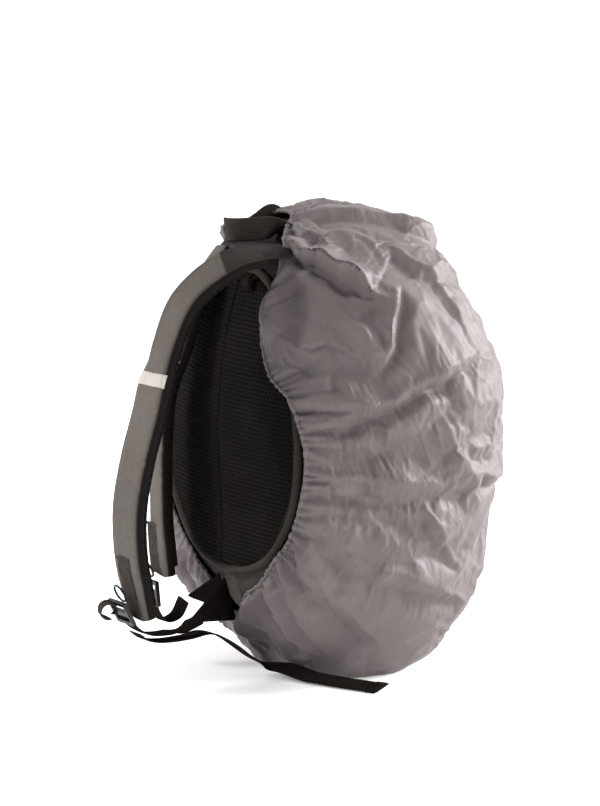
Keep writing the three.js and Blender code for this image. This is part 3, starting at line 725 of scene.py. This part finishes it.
def all_folds():
    folds = list(NEAR_FOLDS)
    rng = np.random.default_rng(41)
    for route, rise, fall, above, below in NEAR_FOLDS:
        shift = rng.uniform(-12, 12, 3) * [0.2, 1, 1]
        far = [np.array([-x, y, z]) + shift for x, y, z in route]
        folds.append((far[::-1], rise * rng.uniform(0.6, 1.1), fall * rng.uniform(0.6, 1.1), above, below))
    for _ in range(LONG_FOLDS):
        turn = rng.uniform(0, FULL_TURN)
        tilt = rng.uniform(1.75, 2.5)
        drift = rng.uniform(-0.5, 0.5)
        span = rng.uniform(0.25, 0.7)
        steps = np.linspace(-0.5, 0.5, 6)
        direction = aim(turn + drift * steps, tilt + span * steps)
        route = CORE + direction * reach(direction, False)[:, None]
        folds.append((route, rng.uniform(2.5, 5), rng.uniform(2.5, 6), rng.uniform(14, 34), rng.uniform(9, 20)))
    return folds


def gathers(s, d, level):
    """Height of the gathered cloth at s along the hem and d from it; level is the hem's height there."""
    dense = np.where(level > 440, 0.8, 1 - 0.75 * ease(level, 292, 322) * (1 - ease(level, 425, 445)))
    wander = 4 * noise(xyz(s / 30, d / 60, 0), 3)
    drift = s + wander + d * 0.25 * noise(xyz(s / 90, 0, 7), 4)

    def pleats(width, seed):
        turn_at = math.pi * drift / width + 3 * noise(xyz(s / (3 * width), 0, 0), seed)
        odd = noise(xyz(2.2 * drift / width, 0, seed), seed + 1)
        return 1.5 * np.abs(np.sin(turn_at)) ** 0.8 - 0.9 + 0.5 * odd

    rise = 1 - np.exp(-d / 3)
    own = 1 + 0.7 * noise(xyz(s / 11, 0, 3), 5)
    d = d / np.maximum(own, 0.35)
    fine = 3.1 * (0.45 + 0.55 * rise) * np.exp(-((d / 15) ** 1.2)) * pleats(8.6, 21)
    middle = 3.6 * (1 - np.exp(-d / 8)) * np.exp(-((d / 44) ** 1.2)) * pleats(19, 31)
    broad = 3.4 * (1 - np.exp(-d / 22)) * np.exp(-((d / 110) ** 1.3)) * pleats(43, 51)
    return dense * (fine + middle) + (0.45 + 0.55 * dense) * broad


def crumple(p):
    """Sharp little creases between flatter facets."""
    warp = np.stack([noise(p / 60, seed) for seed in (61, 62, 63)], -1) * 16
    q = p + warp
    total = 0
    for size, depth, seed in ((95, 4.2, 71), (46, 2.1, 72), (23, 0.95, 73), (12, 0.4, 74)):
        ridged = 1 - np.abs(noise(q / size, seed)) * 2
        total = total + depth * np.maximum(ridged, -0.6) * (0.55 + 0.45 * noise(p / 80, seed + 9))
    return total


SIM_STEP = 2                         # the settling sheet takes every second row and column
SIM_PINNED = 102                     # first row held still, close to the far pole
SIM_FRAMES = 22
SIM_CAP = 12                         # how far a point may move
SIM_BODY_DEPTH = 7.5                 # the pack that stops it, below the surface
SIM_CLOTH = {"quality": 5, "mass": 0.12, "tension_stiffness": 25, "compression_stiffness": 25,
             "shear_stiffness": 6, "bending_stiffness": 0.25, "tension_damping": 6, "compression_damping": 6,
             "shear_damping": 6, "bending_damping": 0.5, "air_damping": 2, "shrink_min": -0.028,
             "vertex_group_mass": "pins", "use_pressure": True, "uniform_pressure_force": 0.15}


def settled(points):
    """The cover after its cloth, cut a little too large, has buckled and come to rest on the pack."""
    rows = points[::SIM_STEP, ::SIM_STEP][:, :SIM_PINNED + 3]
    sheet = skin("settling", rows, COVER, around=True)
    pins = sheet.vertex_groups.new(name="pins")
    index = np.arange(rows.shape[0] * rows.shape[1])
    column = index % rows.shape[1]
    pins.add(index[(column < 1) | (column >= SIM_PINNED)].tolist(), 1.0, "REPLACE")
    under = cover_base[::4, ::4] - cover_normals[::4, ::4] * SIM_BODY_DEPTH
    body = skin("settling_body", under, COVER, around=True)
    body.modifiers.new("hit", "COLLISION")
    body.collision.thickness_outer = 0.001
    body.collision.cloth_friction = 8
    cloth = sheet.modifiers.new("cloth", "CLOTH")
    for key, value in SIM_CLOTH.items():
        setattr(cloth.settings, key, value)
    cloth.settings.effector_weights.gravity = 0.03
    cloth.collision_settings.use_collision = True
    cloth.collision_settings.distance_min = 0.001
    cloth.point_cache.frame_start = 1
    cloth.point_cache.frame_end = SIM_FRAMES
    scene = bpy.context.scene
    for frame_number in range(1, SIM_FRAMES + 1):
        scene.frame_set(frame_number)
    seen = sheet.evaluated_get(bpy.context.evaluated_depsgraph_get()).to_mesh()
    moved = np.empty(len(index) * 3, np.float32)
    seen.vertices.foreach_get("co", moved)
    moved = moved.reshape(rows.shape) / MM + SHIFT
    scene.frame_set(1)
    shift = moved - rows
    size = np.linalg.norm(shift, axis=-1, keepdims=True)
    shift *= SIM_CAP * np.tanh(size / SIM_CAP) / np.maximum(size, 1e-6)
    full = np.zeros_like(points)
    k = np.arange(points.shape[1]) / SIM_STEP
    i = np.arange(points.shape[0]) / SIM_STEP
    wide = wrapped(shift)
    for axis in range(3):
        along = np.stack([np.interp(k, np.arange(rows.shape[1]), line, right=0) for line in wide[..., axis]])
        full[..., axis] = np.stack([np.interp(i, np.arange(len(wide)), line) for line in along.T], 1)
    for piece in (sheet, body):
        bpy.data.objects.remove(piece, do_unlink=True)
    return points + full


COVER_COLUMNS = 640
COVER_ROWS = 215
DEEPEST_FOLD = 6.0                   # the bag lies a little deeper
LOWEST = 0.2                         # the cloth's underside stays above the floor
COVER_PANELS = [f"cover_{side}_panel" for side in ("top", "left", "right", "base", "front")]
HEM_SEAM_ROW = 5
# Loose lobes past the hem, high on the near side and low under the back panel: level and half height, how
# far each stands out and its place and half width behind the hem, how far it hangs back and where.
LOBES = [(372, 62, 9, 20, 26, 9, 14, 22), (66, 40, 13, 15, 24, 12, 12, 22)]


def above_base(points, height):
    return points + cover_normals * height[..., None]


def off_floor(points):
    points[..., 2] = np.maximum(points[..., 2], LOWEST)
    return points


turn, tilt = rim_columns(COVER_COLUMNS)
# The hem is drawn back a little beside the panel, so the piping shows.
tilt = tilt + np.where(np.cos(turn) > 0, 0.07, 0.14) * bump01(np.sin(turn), 0.05, 0.85) * np.abs(np.cos(turn))
# High on the near side it lies over the end of the yoke.
tilt = tilt - 0.05 * bump01(turn, -42 * DEGREE, 24 * DEGREE)
# It is drawn back at the upper far corner, behind the handle.
tilt = tilt + 0.19 * bump01(turn, 116 * DEGREE, 20 * DEGREE)
over_yoke = bump01(turn, 76 * DEGREE, 10 * DEGREE)
tilt = tilt - 0.075 * over_yoke
share = np.linspace(0, 1, COVER_ROWS) ** 1.08
tilts = tilt[:, None] + (math.pi * 0.998 - tilt[:, None]) * share
heading = aim(turn[:, None] + 0 * tilts, tilts)
cover_base = relaxed(CORE + heading * reach(heading, True)[..., None], 30)
cover_normals = unit(relaxed(grid_normals(cover_base), 6, False))
hem = cover_base[:, 0]
hem_s = lengths(wrapped(hem))[:-1][:, None] + 0 * share
from_hem = np.cumsum(np.linalg.norm(np.diff(cover_base, axis=1, prepend=cover_base[:, :1]), axis=-1), axis=1)
hem_level = hem[:, 2][:, None] + 0 * share
hem_side = hem[:, 0][:, None] + 0 * share

pleated = gathers(hem_s, from_hem, hem_level)
folded = sum(fold_height(cover_base, cover_normals, fold) for fold in all_folds())
height = 0.5 * pleated + 0.7 * folded
height = height + crumple(cover_base) * (0.15 + 0.85 * ease(from_hem, 4, 60)) * 0.75
hanging = 0
for level, tall, stands, at, wide, hangs, hangs_at, hangs_wide in LOBES:
    lobe = bump01(hem_level, level, tall) * (hem_side > 0)
    height = height + stands * lobe * bump01(from_hem, at, wide)
    hanging = hanging + hangs * lobe * bump01(from_hem, hangs_at, hangs_wide)
height = height + 6 * over_yoke[:, None] * (1 - ease(from_hem, 10, 60))
height = np.where(height < 0, -DEEPEST_FOLD * np.tanh(-height / DEEPEST_FOLD), height)
height = np.where(cover_base[..., 2] < 12, np.minimum(height, 1.5), height)
cover_points = above_base(cover_base, height)
cover_points[..., 1] -= hanging
cover_points = off_floor(cover_points)
cover_points = settled(cover_points)
# Some of the folds is added again after settling, so that their edges stay crisp.
cover_points = above_base(cover_points, (0.75 * pleated + 0.55 * folded) * ease(cover_points[..., 2], 4, 14))
sunk = -DEEPEST_FOLD - ((cover_points - cover_base) * cover_normals).sum(-1)
cover_points = off_floor(above_base(cover_points, np.maximum(0, sunk)))
cover_uv = np.stack([np.append(hem_s[:, 0], hem_s[-1, 0] + 2)[:, None] + 0 * share, wrapped(from_hem)], -1) * MM
cover = skin("rain_cover_cloth", cover_points, COVER, around=True, uv=cover_uv)
place(cover, "pack", "cover_cloth", *COVER_PANELS)

# The hem's casing over the elastic, ruffled.
casing_line = cover_points[:, 0] + cover_normals[:, 0] * 0.2
casing_size = 1.7 + 0.5 * np.clip(gathers(hem_s, from_hem * 0 + 2, hem_level)[:, 0], -1, 1.4)
casing = tube("cover_hem_casing", casing_line, casing_size, COVER, sides=10, closed=True)
place(casing, "pack", "cover_cloth", "cover_hem_elastic")
hem_seam, hem_out = (wrapped(grid[:, HEM_SEAM_ROW]) for grid in (cover_points, cover_normals))
hem_thread = stitches("cover_hem_stitches", hem_seam, hem_out, PALE_THREAD, 3.4, 2.3, 0.25)
place(hem_thread, "pack", "cover_cloth")


# ---------------------------------------------------------------- cloth of the pack's back, under the hem
back_share = np.linspace(0.02, 1, 70)
back_way = aim(turn[::4, None], (tilt[::4, None] + 0.10) * back_share)
back_inset = 1.5 + 9 * ease(back_share, 0.84, 1.0)
back_points = relaxed(CORE + back_way * (reach(back_way, False) - back_inset)[..., None], 3)
back_ripple = 1.1 * noise(back_points / 32, 81) + 0.5 * noise(back_points / 11, 82)
back_points = back_points + unit(back_points - CORE) * (back_ripple * ease(back_share, 0.3, 0.6))[..., None]
back_uv = wrapped(back_points[..., [0, 2]]) * MM
back_dark = ease(back_points[..., 2], 300, 380)
back_cloth = skin("bag_back_cloth", back_points, PACK_CLOTH, around=True, uv=back_uv, dark=back_dark)
place(back_cloth, "pack", "pack_cloth", "back_cloth")


# ---------------------------------------------------------------- back pads of spacer mesh
HOLE_PITCH = 5.0
HOLE_RADIUS = 1.25


def holes(u, v):
    """1 inside a hole of the staggered pattern, 0 between the holes."""
    row_height = HOLE_PITCH * 0.866
    best = np.full(np.shape(u), 99.0)
    first = np.floor(v / row_height)
    for number in (first, first + 1):
        du = u - np.mod(number, 2) * HOLE_PITCH / 2
        du = du - HOLE_PITCH * np.round(du / HOLE_PITCH)
        best = np.minimum(best, np.hypot(du, v - number * row_height))
    return 1 - ease(best, HOLE_RADIUS - 0.45, HOLE_RADIUS + 0.4)


for side, name in ((1, "left"), (-1, "right")):
    rows, columns = 268, 118
    margin = 2 * PIPING_RADIUS + 2 * GAP
    z = np.linspace(PANEL_BOTTOM_Z + margin + 1, PANEL_TOP_Z - margin, rows)
    half = panel_inside(z, margin - 1.2)
    behind = profile(BACK, z) - GAP
    x = 0.25 + (half - 0.25) * np.linspace(0, 1, columns)[:, None]
    hole = holes(x, z)
    deep = pad_depth(x, z) - 1.5 * hole - 2.2 * np.exp(-x / 1.6) - 2.6 * np.exp(-(half - x) / 2.2)
    deep = deep + 0.5 * noise(xyz(x / 26, 0, z / 26), 90 + side)
    ends = ease(np.minimum(z - z[0], z[-1] - z), -1, 4)
    back_x = 0.25 + (half - 0.25) * np.linspace(1, 0, 6)[:, None]
    seen_face = xyz(side * x, behind - np.maximum(deep * ends, 0.5), z)
    points = np.concatenate([seen_face, xyz(side * back_x, behind, z)])
    # The holes' mask also goes to the dark attribute: painted shade in the holes, on top of their dents.
    pad = skin(f"{name}_back_pad_mesh", points, AIR_MESH, around=True, uv=wrapped(points[..., [0, 2]] * MM),
               cap=True, dark=np.concatenate([hole, np.zeros_like(back_x)]))
    place(pad, "pack", "air_mesh", f"{name}_back_pad")


def panel_outline(count, margin):
    low, high = PANEL_BOTTOM_Z + margin, PANEL_TOP_Z - margin
    z = (high + low) / 2 - (high - low) / 2 * np.cos(math.pi * np.arange(23) / 22)
    right = xyz(panel_inside(z, margin), 0, z)
    left = right[1:-1][::-1] * [-1, 1, 1]
    line = smooth(np.concatenate([right, left]), count, closed=True)
    line[:, 1] = profile(BACK, line[:, 2]) - PIPING_RADIUS - GAP
    return line


piping_line = panel_outline(420, PIPING_RADIUS)
piping_size = PIPING_RADIUS * (1 + 0.05 * noise(piping_line / 15, 95))
piping = tube("panel_piping_cloth", piping_line, piping_size, BINDING, sides=16, closed=True)
place(piping, "pack", "binding", "panel_piping")
seam_line = panel_outline(420, 2 * PIPING_RADIUS + 0.6)
seam_line[:, 1] = profile(BACK, seam_line[:, 2]) - GAP - 7.4
place(stitches("panel_stitches", seam_line, (0, -1, 0), THREAD, 3.4, 2.4, 0.35), "pack", "binding")


# ---------------------------------------------------------------- shoulder straps
CREASE_AT = -0.30                    # across the strap, as a share of its half width
SEAM_AT = 0.86
TIP = 0.985                          # share of the length where the strap's end starts to round off
# Small dents across the outer face: share of the length, slant and depth.
STRAP_DENTS = ((0.600, 0.018, 0.9), (0.622, -0.012, 0.7), (0.655, 0.02, 0.8), (0.71, -0.01, 0.5))


class Strap:
    """A padded strap along the middle line of its outer face."""

    def __init__(self, route, crease, roll, turn_in, narrow):
        self.line = smooth(route, 240)
        along = tangents(self.line)
        inward = xyz(0, -along[:, 2], along[:, 1])
        self.inward = unit(inward * np.where(inward[:, 1:2] < 0, -1, 1))
        self.length = lengths(self.line)[-1]
        self.crease = crease
        self.roll = roll
        self.turn_in = turn_in
        self.narrow = narrow

    def at(self, table, f):
        k = np.clip(f, 0, 1) * (len(self.line) - 1)
        return np.stack([np.interp(k, np.arange(len(self.line)), table[:, j]) for j in range(3)], -1)

    def inside(self, f, across, depth):
        """Points so far across from the middle line and so far in from it, towards the back."""
        depth = np.asarray(depth, float)
        return self.at(self.line, f) + X_AXIS * across[..., None] + self.at(self.inward, f) * depth[..., None]

    def half(self, f):
        taper = np.where(f > 0.9, 1 - 2.2 * (f - 0.9), 1)
        root = 1 - self.narrow * (1 - ease(f, 0, 0.2))
        return STRAP_WIDTH / 2 * taper * (1 - 0.35 * ease(f, TIP, 1.0)) * root

    def lean(self, f):
        """How much deeper the pad lies for each millimetre across it."""
        turn_in = self.turn_in * ease(f, 0.3, 0.5) * (1 - 0.5 * ease(f, 0.8, 1.0))
        return self.roll * (1 - ease(f, 0.05, 0.34)) - turn_in

    def surface(self, f, angle, proud=0.0):
        """Points on the pad at a share of its length and an angle round it: 90 degrees is the outer face."""
        f, angle = np.broadcast_arrays(np.asarray(f, float), np.asarray(angle, float))
        a, b = flattened(angle, 0.5, 0.62)
        s = np.sin(angle)
        half = self.half(f)
        outer = np.clip(s, 0, 1)
        out = b * STRAP_THICKNESS / 2 + outer * (1 - a * a)
        seam = np.exp(-((np.abs(a) - SEAM_AT) * half / 1.3) ** 2) * ease(s, 0.2, 0.5)
        top = self.crease * (1 - ease(f, 0.30, 0.46))
        fold = np.maximum(0, CREASE_AT - a) * half * 0.85 * top * ease(s, -1, 0.6)
        ridge = 1.1 * top * np.exp(-(((a - CREASE_AT) * half) / 2.2) ** 2) * outer
        out = out - 0.9 * seam - fold + ridge - self.lean(f) * (a * half)
        where = xyz(a * half / 34, f * self.length / 34, 0)
        out = out + (0.55 * noise(where, 101) + 0.25 * noise(where * 2.7, 102)) * ease(np.abs(s), 0.3, 0.8)
        for middle, slant, depth in STRAP_DENTS:
            line = (f - middle - slant * a) * self.length / 2.4
            out = out - depth * outer * np.exp(-line**2) * ease(a, -0.4, 0.7)
        return self.inside(f, a * half, STRAP_THICKNESS / 2 - out - proud * np.sign(s))


def strap_uv(points):
    """Metres along and round a grid whose second direction runs along the strap."""
    around = lengths(points[:, points.shape[1] // 2])
    return map_of(np.append(around, around[-1] + 1), lengths(points[len(points) // 4])) * MM


STRAPS = {"left": Strap(LEFT_ROUTE, 1.0, 0.16, 0.04, 0.0), "right": Strap(RIGHT_ROUTE, 0.0, -0.3, 0.28, 0.3)}
BAND_AT = {"left": 0.405, "right": 0.36}
BAND_HEIGHT = 13.5
BEND_LENGTH = 55                     # of the strap's root, where it leaves the yoke
LINING_HALF = (STRAP_WIDTH - 3.5) / 2


def crossing(piece, side, slot, *nodes):
    """A piece of the strap, handed to bend with the span of the strap's root where it leaves the yoke."""
    strap = STRAPS[side]
    bend(piece, f"{side}_strap", slot, strap.line[0], strap.at(strap.line, BEND_LENGTH / strap.length), *nodes)


for side, strap in STRAPS.items():
    body = f"{side}_strap"
    steps = np.linspace(0, 1, 300)
    face = np.linspace(0.985, -0.985, 45)
    top_half = np.arccos(np.sign(face) * face**2)
    edge = np.linspace(0, 1, 6)[1:-1] * 2 * top_half[0] - top_half[0]
    round_it = np.concatenate([top_half, math.pi - edge[::-1], FULL_TURN - top_half[::-1], edge])
    pad_points = strap.surface(steps[None, :], round_it[:, None])
    rounding = np.sqrt(np.clip(1 - ((steps - TIP) / (1 - TIP)).clip(0, 1) ** 2, 0.12, 1))
    tip_middle = pad_points.mean(axis=0, keepdims=True)
    pad_points = tip_middle + (pad_points - tip_middle) * rounding[None, :, None]
    # Dark on the edges and before the yoke's slanting seam, pale on the outer face.
    edge_dark = 1 - ease(np.sin(round_it), 0.45, 0.80)
    seam_at = np.full(len(round_it), -1.0)
    if side == "left":
        seam_at = 0.045 + 0.033 * (flattened(round_it, 0.5, 1)[0] + 1)
    root_dark = 0.83 * (1 - ease(steps[None, :] - seam_at[:, None], 0, 0.006))
    pad = skin(f"{side}_strap_padding", pad_points, STRAP_CLOTH, around=True, uv=strap_uv(pad_points), cap=True,
               dark=np.maximum(edge_dark[:, None], root_dark))
    crossing(pad, side, "strap_cloth", f"{side}_strap_pad")

    # Spacer-mesh lining with its holes, on the side that lies on the shoulder.
    rows = int(strap.length * 0.9 / 1.1)
    f = np.linspace(0.06, 0.96, rows)
    half = LINING_HALF * strap.half(f) / (STRAP_WIDTH / 2)
    u = np.linspace(-1, 1, 46)[:, None]
    hole = holes(u * half, f * strap.length)
    crown = 3.6 * (1 - np.abs(u) ** 7) + 0.3
    depth = STRAP_THICKNESS + 0.1 + crown - 1.2 * hole * (np.abs(u) < 0.93)
    under_u = np.linspace(1, -1, 5)[:, None]
    shoulder_side = strap.inside(f, u * half, depth + strap.lean(f) * u * half)
    under_side = strap.inside(f, under_u * half * 0.98, STRAP_THICKNESS - 3 + strap.lean(f) * under_u * half)
    points = np.concatenate([shoulder_side, under_side])
    # The holes' mask also goes to the dark attribute: painted shade in the holes, on top of their dents.
    lining = skin(f"{side}_strap_mesh_lining", points, AIR_MESH, around=True, uv=strap_uv(points), cap=True,
                  dark=np.concatenate([hole, np.zeros((5, rows))]))
    crossing(lining, side, "air_mesh", f"{side}_strap_lining")

    # Sewn seams along both edges of the outer face.
    seam_f = np.linspace(0.03, 0.94, 260)
    for edge, label in ((SEAM_AT, "near"), (-SEAM_AT, "far")):
        seam = strap.surface(seam_f, math.acos(edge * abs(edge)), 0.05)
        outward = -strap.at(strap.inward, seam_f)
        thread = stitches(f"{side}_strap_{label}_stitches", seam, outward, THREAD, 3.6, 2.4, 0.3)
        crossing(thread, side, "strap_cloth")

    # Reflective tape over the outer face, turned in at both edges.
    angles = np.linspace(172 * DEGREE, 22 * DEGREE, 60)
    slant = -0.006 * np.cos(angles) + 0.004 * np.maximum(0, np.cos(angles)) ** 2
    band = []
    for v in np.linspace(0, 1, 9):
        f = BAND_AT[side] + BAND_HEIGHT / strap.length * v + slant
        band.append(strap.surface(f, angles - 0.09 * (1 - v), 0.45 - 0.35 * (abs(v - 0.5) > 0.49)))
    tape = skin(f"{side}_reflective_tape", np.stack(band, 1), REFLECTIVE,
                uv=map_of(np.linspace(0, STRAP_WIDTH * MM, 60), np.linspace(0, BAND_HEIGHT * MM, 9)))
    thick = tape.modifiers.new("thickness", "SOLIDIFY")
    thick.thickness = 0.0005
    thick.offset = -0.5
    place(tape, body, "reflective", f"{side}_reflective_band")

    # Webbing sewn to the strap's end, with its box of stitches.
    f = np.linspace(0.84, TIP, 50)
    sewn = strap.surface(f, math.pi / 2, WEB_THICKNESS / 2 + 0.1)
    web = strip(f"{side}_strap_sewn_webbing", sewn, X_AXIS, WEB_WIDTH, WEB_THICKNESS, TAPE_WEBBING, wave=0.15,
                seed=8)
    place(web, body, "webbing", f"{side}_strap_tape")
    up = -strap.at(strap.inward, f)
    boxed = (sewn + up * (WEB_THICKNESS / 2 + 0.1))[5:34]
    to_edge = X_AXIS * (WEB_WIDTH / 2 - 2.5)
    left_edge, right_edge = boxed - to_edge, boxed + to_edge
    crossed = (right_edge - left_edge) * np.linspace(0, 1, len(boxed))[:, None]
    lines = [left_edge, right_edge, left_edge + crossed, right_edge - crossed,
             np.linspace(left_edge[0], right_edge[0], 20), np.linspace(left_edge[-1], right_edge[-1], 20)]
    box = [stitches(f"box{n}", line, up[20], THREAD, 2.8, 2.0, 0.32) for n, line in enumerate(lines)]
    place(joined(f"{side}_box_stitches", box), body, "webbing")
    # The turned end of the webbing above the box, a soft ridge.
    to_side = X_AXIS * WEB_WIDTH / 2
    ridge_line = np.linspace(sewn[1] - to_side, sewn[1] + to_side, 24) + up[1] * 0.6
    place(tube(f"{side}_webbing_turned_end", ridge_line, 1.5, TAPE_WEBBING), body, "webbing")

# ---------------------------------------------------------------- shoulder yoke
YOKE_ENDS = (-50, 72)
YOKE_BACK = 33
YOKE_HEIGHT = 430
YOKE_THICKNESS = 11
yoke_x = np.linspace(*YOKE_ENDS, 110)
yoke_front = 13 - 25 / (1 + np.exp(-(yoke_x + 14) / 9)) - 9 * ease(yoke_x, 5, 32)
yoke_back = YOKE_BACK - 17 * ease(yoke_x, 48, 88)
yoke_middle, yoke_half = (yoke_back + yoke_front) / 2, (yoke_back - yoke_front) / 2
a, b = flattened(np.linspace(0, FULL_TURN, 56, endpoint=False)[:, None], 0.45, 0.65)
from_middle = np.abs(yoke_x - sum(YOKE_ENDS) / 2) / ((YOKE_ENDS[1] - YOKE_ENDS[0] + 1) / 2)
ends = np.sqrt(np.clip(1 - from_middle**10, 0.02, 1))
yoke_z = YOKE_HEIGHT + b * YOKE_THICKNESS / 2 * ends + 0.8 * (1 - a * a) * (b > 0)
yoke_z = yoke_z - 0.16 * np.maximum(0, yoke_x - 60)
yoke_points = xyz(yoke_x, yoke_middle + a * yoke_half, yoke_z)
yoke_points[..., 2] += 0.6 * noise(yoke_points / 24, 111)
yoke_uv = wrapped(yoke_points)[..., :2] * MM
yoke = skin("shoulder_yoke_padding", yoke_points, YOKE_CLOTH, around=True, uv=yoke_uv, cap=True)
place(yoke, "pack", "strap_cloth", "shoulder_yoke")

# ---------------------------------------------------------------- grab handle and hang loop
handle_line = smooth(HANDLE, 120)
handle_twist = 1 - ease(np.linspace(0, 1, len(handle_line)), 0, 0.2)[:, None]
handle_across = unit(unit([0, -0.14, 1]) * (1 - handle_twist) + np.array([1.0, 0.1, 0.4]) * handle_twist)
grab = strip("grab_handle_webbing", handle_line, handle_across, WEB_WIDTH - 1.5, 2.3, HANDLE_WEBBING, wave=0.5,
             seed=9, sides=28)
bend(grab, "handle", "webbing", (0, 52, 449), (0, 20, 449), "grab_handle")
loop_line = smooth([(20, 5, 403), (24, -3, 399), (27, -4, 393), (24, 2, 388)], 40)
loop = strip("hang_loop_webbing", loop_line, unit([1.0, 0.25, 0.2]), 9, 3, WEBBING, wave=0.7, seed=12)
place(loop, "pack", "webbing", "hang_loop")

# ---------------------------------------------------------------- lower tabs, webbing and fittings
# Each tab's two corners at the pack and its tip at the webbing.
TABS = {"left": ((2, -18, 95), (4, -2, 53), (50, -84, 64)),
        "right": ((-22, -9, 96), (-24, 2, 55), (-52, -30, 70))}
for side, corners in TABS.items():
    first, second, tip = (np.array(p, float) for p in corners)
    f = np.linspace(0, 0.95, 40)[:, None]
    upper, lower = first + (tip - first) * f, second + (tip - second) * f
    middle = (upper + lower) / 2
    width = np.linalg.norm(upper - lower, axis=1)
    tab = strip(f"{side}_base_tab_cloth", middle, unit(upper - lower), width, 2.6, WEBBING, wave=0.3, seed=14)
    place(tab, "pack", "webbing", f"{side}_base_tab")
    inner = 0.86                     # where the seams run, as a share of the half width
    facing = unit(np.cross(second - first, tip - first))
    facing = facing * np.sign(facing[0] or 1)
    seams = [(middle + (edge - middle) * inner + facing * 1.3)[:36] for edge in (upper, lower)]
    threads = [stitches(f"tab{n}", seam, facing, THREAD, 3.0, 2.1, 0.32) for n, seam in enumerate(seams)]
    place(joined(f"{side}_base_tab_stitches", threads), "pack", "webbing")

# Each adjuster's webbing: its route, its width direction at the tab and how much narrower it is folded there.
WEBS = {"left": ([(48, -66, 67)] + LEFT_WEB + [(60, -155, 73), (60, -160, 80)], (0.12, 0.25, 0.96), 0.45),
        "right": (RIGHT_WEB + [(-60, -66, 68), (-60, -67, 74)], (1, 0, 0), 0)}
for side, (route, upright, folded_in) in WEBS.items():
    line = smooth(route, 60)
    turned = 1 - ease(np.linspace(0, 1, len(line)), 0.16, 0.42)
    across = unit(X_AXIS * (1 - turned[:, None]) + np.array(upright) * turned[:, None])
    width = WEB_WIDTH * (1 - folded_in * turned)
    web = strip(f"{side}_adjuster_webbing_cloth", line, across, width, WEB_THICKNESS, WEBBING, wave=0.3, seed=15)
    bend(web, f"{side}_strap", "webbing", line[8], line[-12], f"{side}_adjuster_webbing")

CURL_MIDDLE = (60, -178.5, 87.5)
CURL_RADIUS = 9
curl_turn = np.radians(np.linspace(-40, 262, 70))
curl = CURL_MIDDLE + CURL_RADIUS * xyz(0, np.cos(curl_turn), 0.8 * np.sin(curl_turn))
curled = strip("left_webbing_fold_cloth", curl, unit([1.0, -0.36, 0.0]), WEB_WIDTH - 3, WEB_THICKNESS + 0.5,
               HANDLE_WEBBING, wave=0.25, seed=16)
place(curled, "left_lock", "webbing", "left_webbing_fold")

RINGS = {"left": (60, -165, 103), "right": (-60, -70, 100)}
RING_TILT = 0.45
RING_RADIUS = 9
for side, middle in RINGS.items():
    around_it = np.linspace(0, FULL_TURN, 96, endpoint=False)
    lean = math.pi / 2 + RING_TILT
    circle = xyz(np.cos(around_it), np.sin(around_it) * math.cos(lean), np.sin(around_it) * math.sin(lean))
    ring = tube(f"{side}_ring_plastic", middle + RING_RADIUS * circle, 1.15, PLASTIC, sides=14, closed=True)
    place(ring, f"{side}_d_ring", "buckle", f"{side}_ring")

# ---------------------------------------------------------------- finishes of the CAD nodes that stay
SLOT_LOOKS = {"pack_cloth": PACK_CLOTH, "foam": FOAM, "board": BOARD, "buckle": PLASTIC, "zip": ZIP,
              "slider": SLIDER, "elastic": ELASTIC, "cover_cloth": COVER, "webbing": WEBBING,
              "air_mesh": AIR_MESH, "binding": BINDING, "strap_cloth": STRAP_CLOTH, "reflective": REFLECTIVE}
for part in frame["record"]["subparts"]:
    node = frame["nodes"].get(part["node"])
    if node is None or node.hide_render:
        continue
    node.data.materials.clear()
    node.data.materials.append(SLOT_LOOKS[part["material_slot"]])
    if part["material_slot"] in ("buckle", "slider"):
        weld = node.modifiers.new("weld", "WELD")
        weld.merge_threshold = 0.00002
        soften = node.modifiers.new("soften", "BEVEL")
        soften.width = 0.0009
        soften.segments = 3
        soften.angle_limit = 35 * DEGREE

# ---------------------------------------------------------------- stage
FLOOR_HALF_M = 40
floor_mesh = bpy.data.meshes.new("floor")
floor_corners = [(x * FLOOR_HALF_M, y * FLOOR_HALF_M, 0) for x, y in ((-1, -1), (1, -1), (1, 1), (-1, 1))]
floor_mesh.from_pydata(floor_corners, [], [(0, 1, 2, 3)])
floor_look = Look("floor", (0.96, 0.96, 0.96), 0.9, Emission_Color=(1, 1, 1, 1), Emission_Strength=0.22)
floor_mesh.materials.append(floor_look.material)
shown("floor", floor_mesh)


def lamp(name, right, near, up, size, power):
    data = bpy.data.lights.new(name, "AREA")
    data.size = size
    data.energy = power
    light = shown(name, data)
    offset = RIGHT * right + NEAR * near + Z_AXIS * up
    light.location = TARGET + offset
    light.rotation_euler = Vector(-offset).to_track_quat("-Z", "Y").to_euler()


lamp("key", 2.6, -1.2, 0.9, 0.8, 138)
lamp("soft", 2.7, 0.9, 1.3, 0.6, 34)
lamp("fill", -2.6, 0.2, 1.5, 1.0, 66)
world = bpy.data.worlds.new("studio")
world.use_nodes = True
sky = world.node_tree.nodes
place_in_sky = sky.new("ShaderNodeTexCoord")
facing = sky.new("ShaderNodeVectorMath")
facing.operation = "DOT_PRODUCT"
facing.inputs[1].default_value = (-0.84, 0.48, 0.25)
amount = sky.new("ShaderNodeMapRange")
for number, value in enumerate((-0.8, 0.0, 0.12, 1.0), start=1):
    amount.inputs[number].default_value = value
world.node_tree.links.new(place_in_sky.outputs["Generated"], facing.inputs[0])
world.node_tree.links.new(facing.outputs["Value"], amount.inputs[0])
world.node_tree.links.new(amount.outputs[0], sky["Background"].inputs["Strength"])
sky["Background"].inputs["Color"].default_value = (1, 1, 1, 1)
bpy.context.scene.world = world
bpy.context.scene.view_settings.view_transform = "Standard"
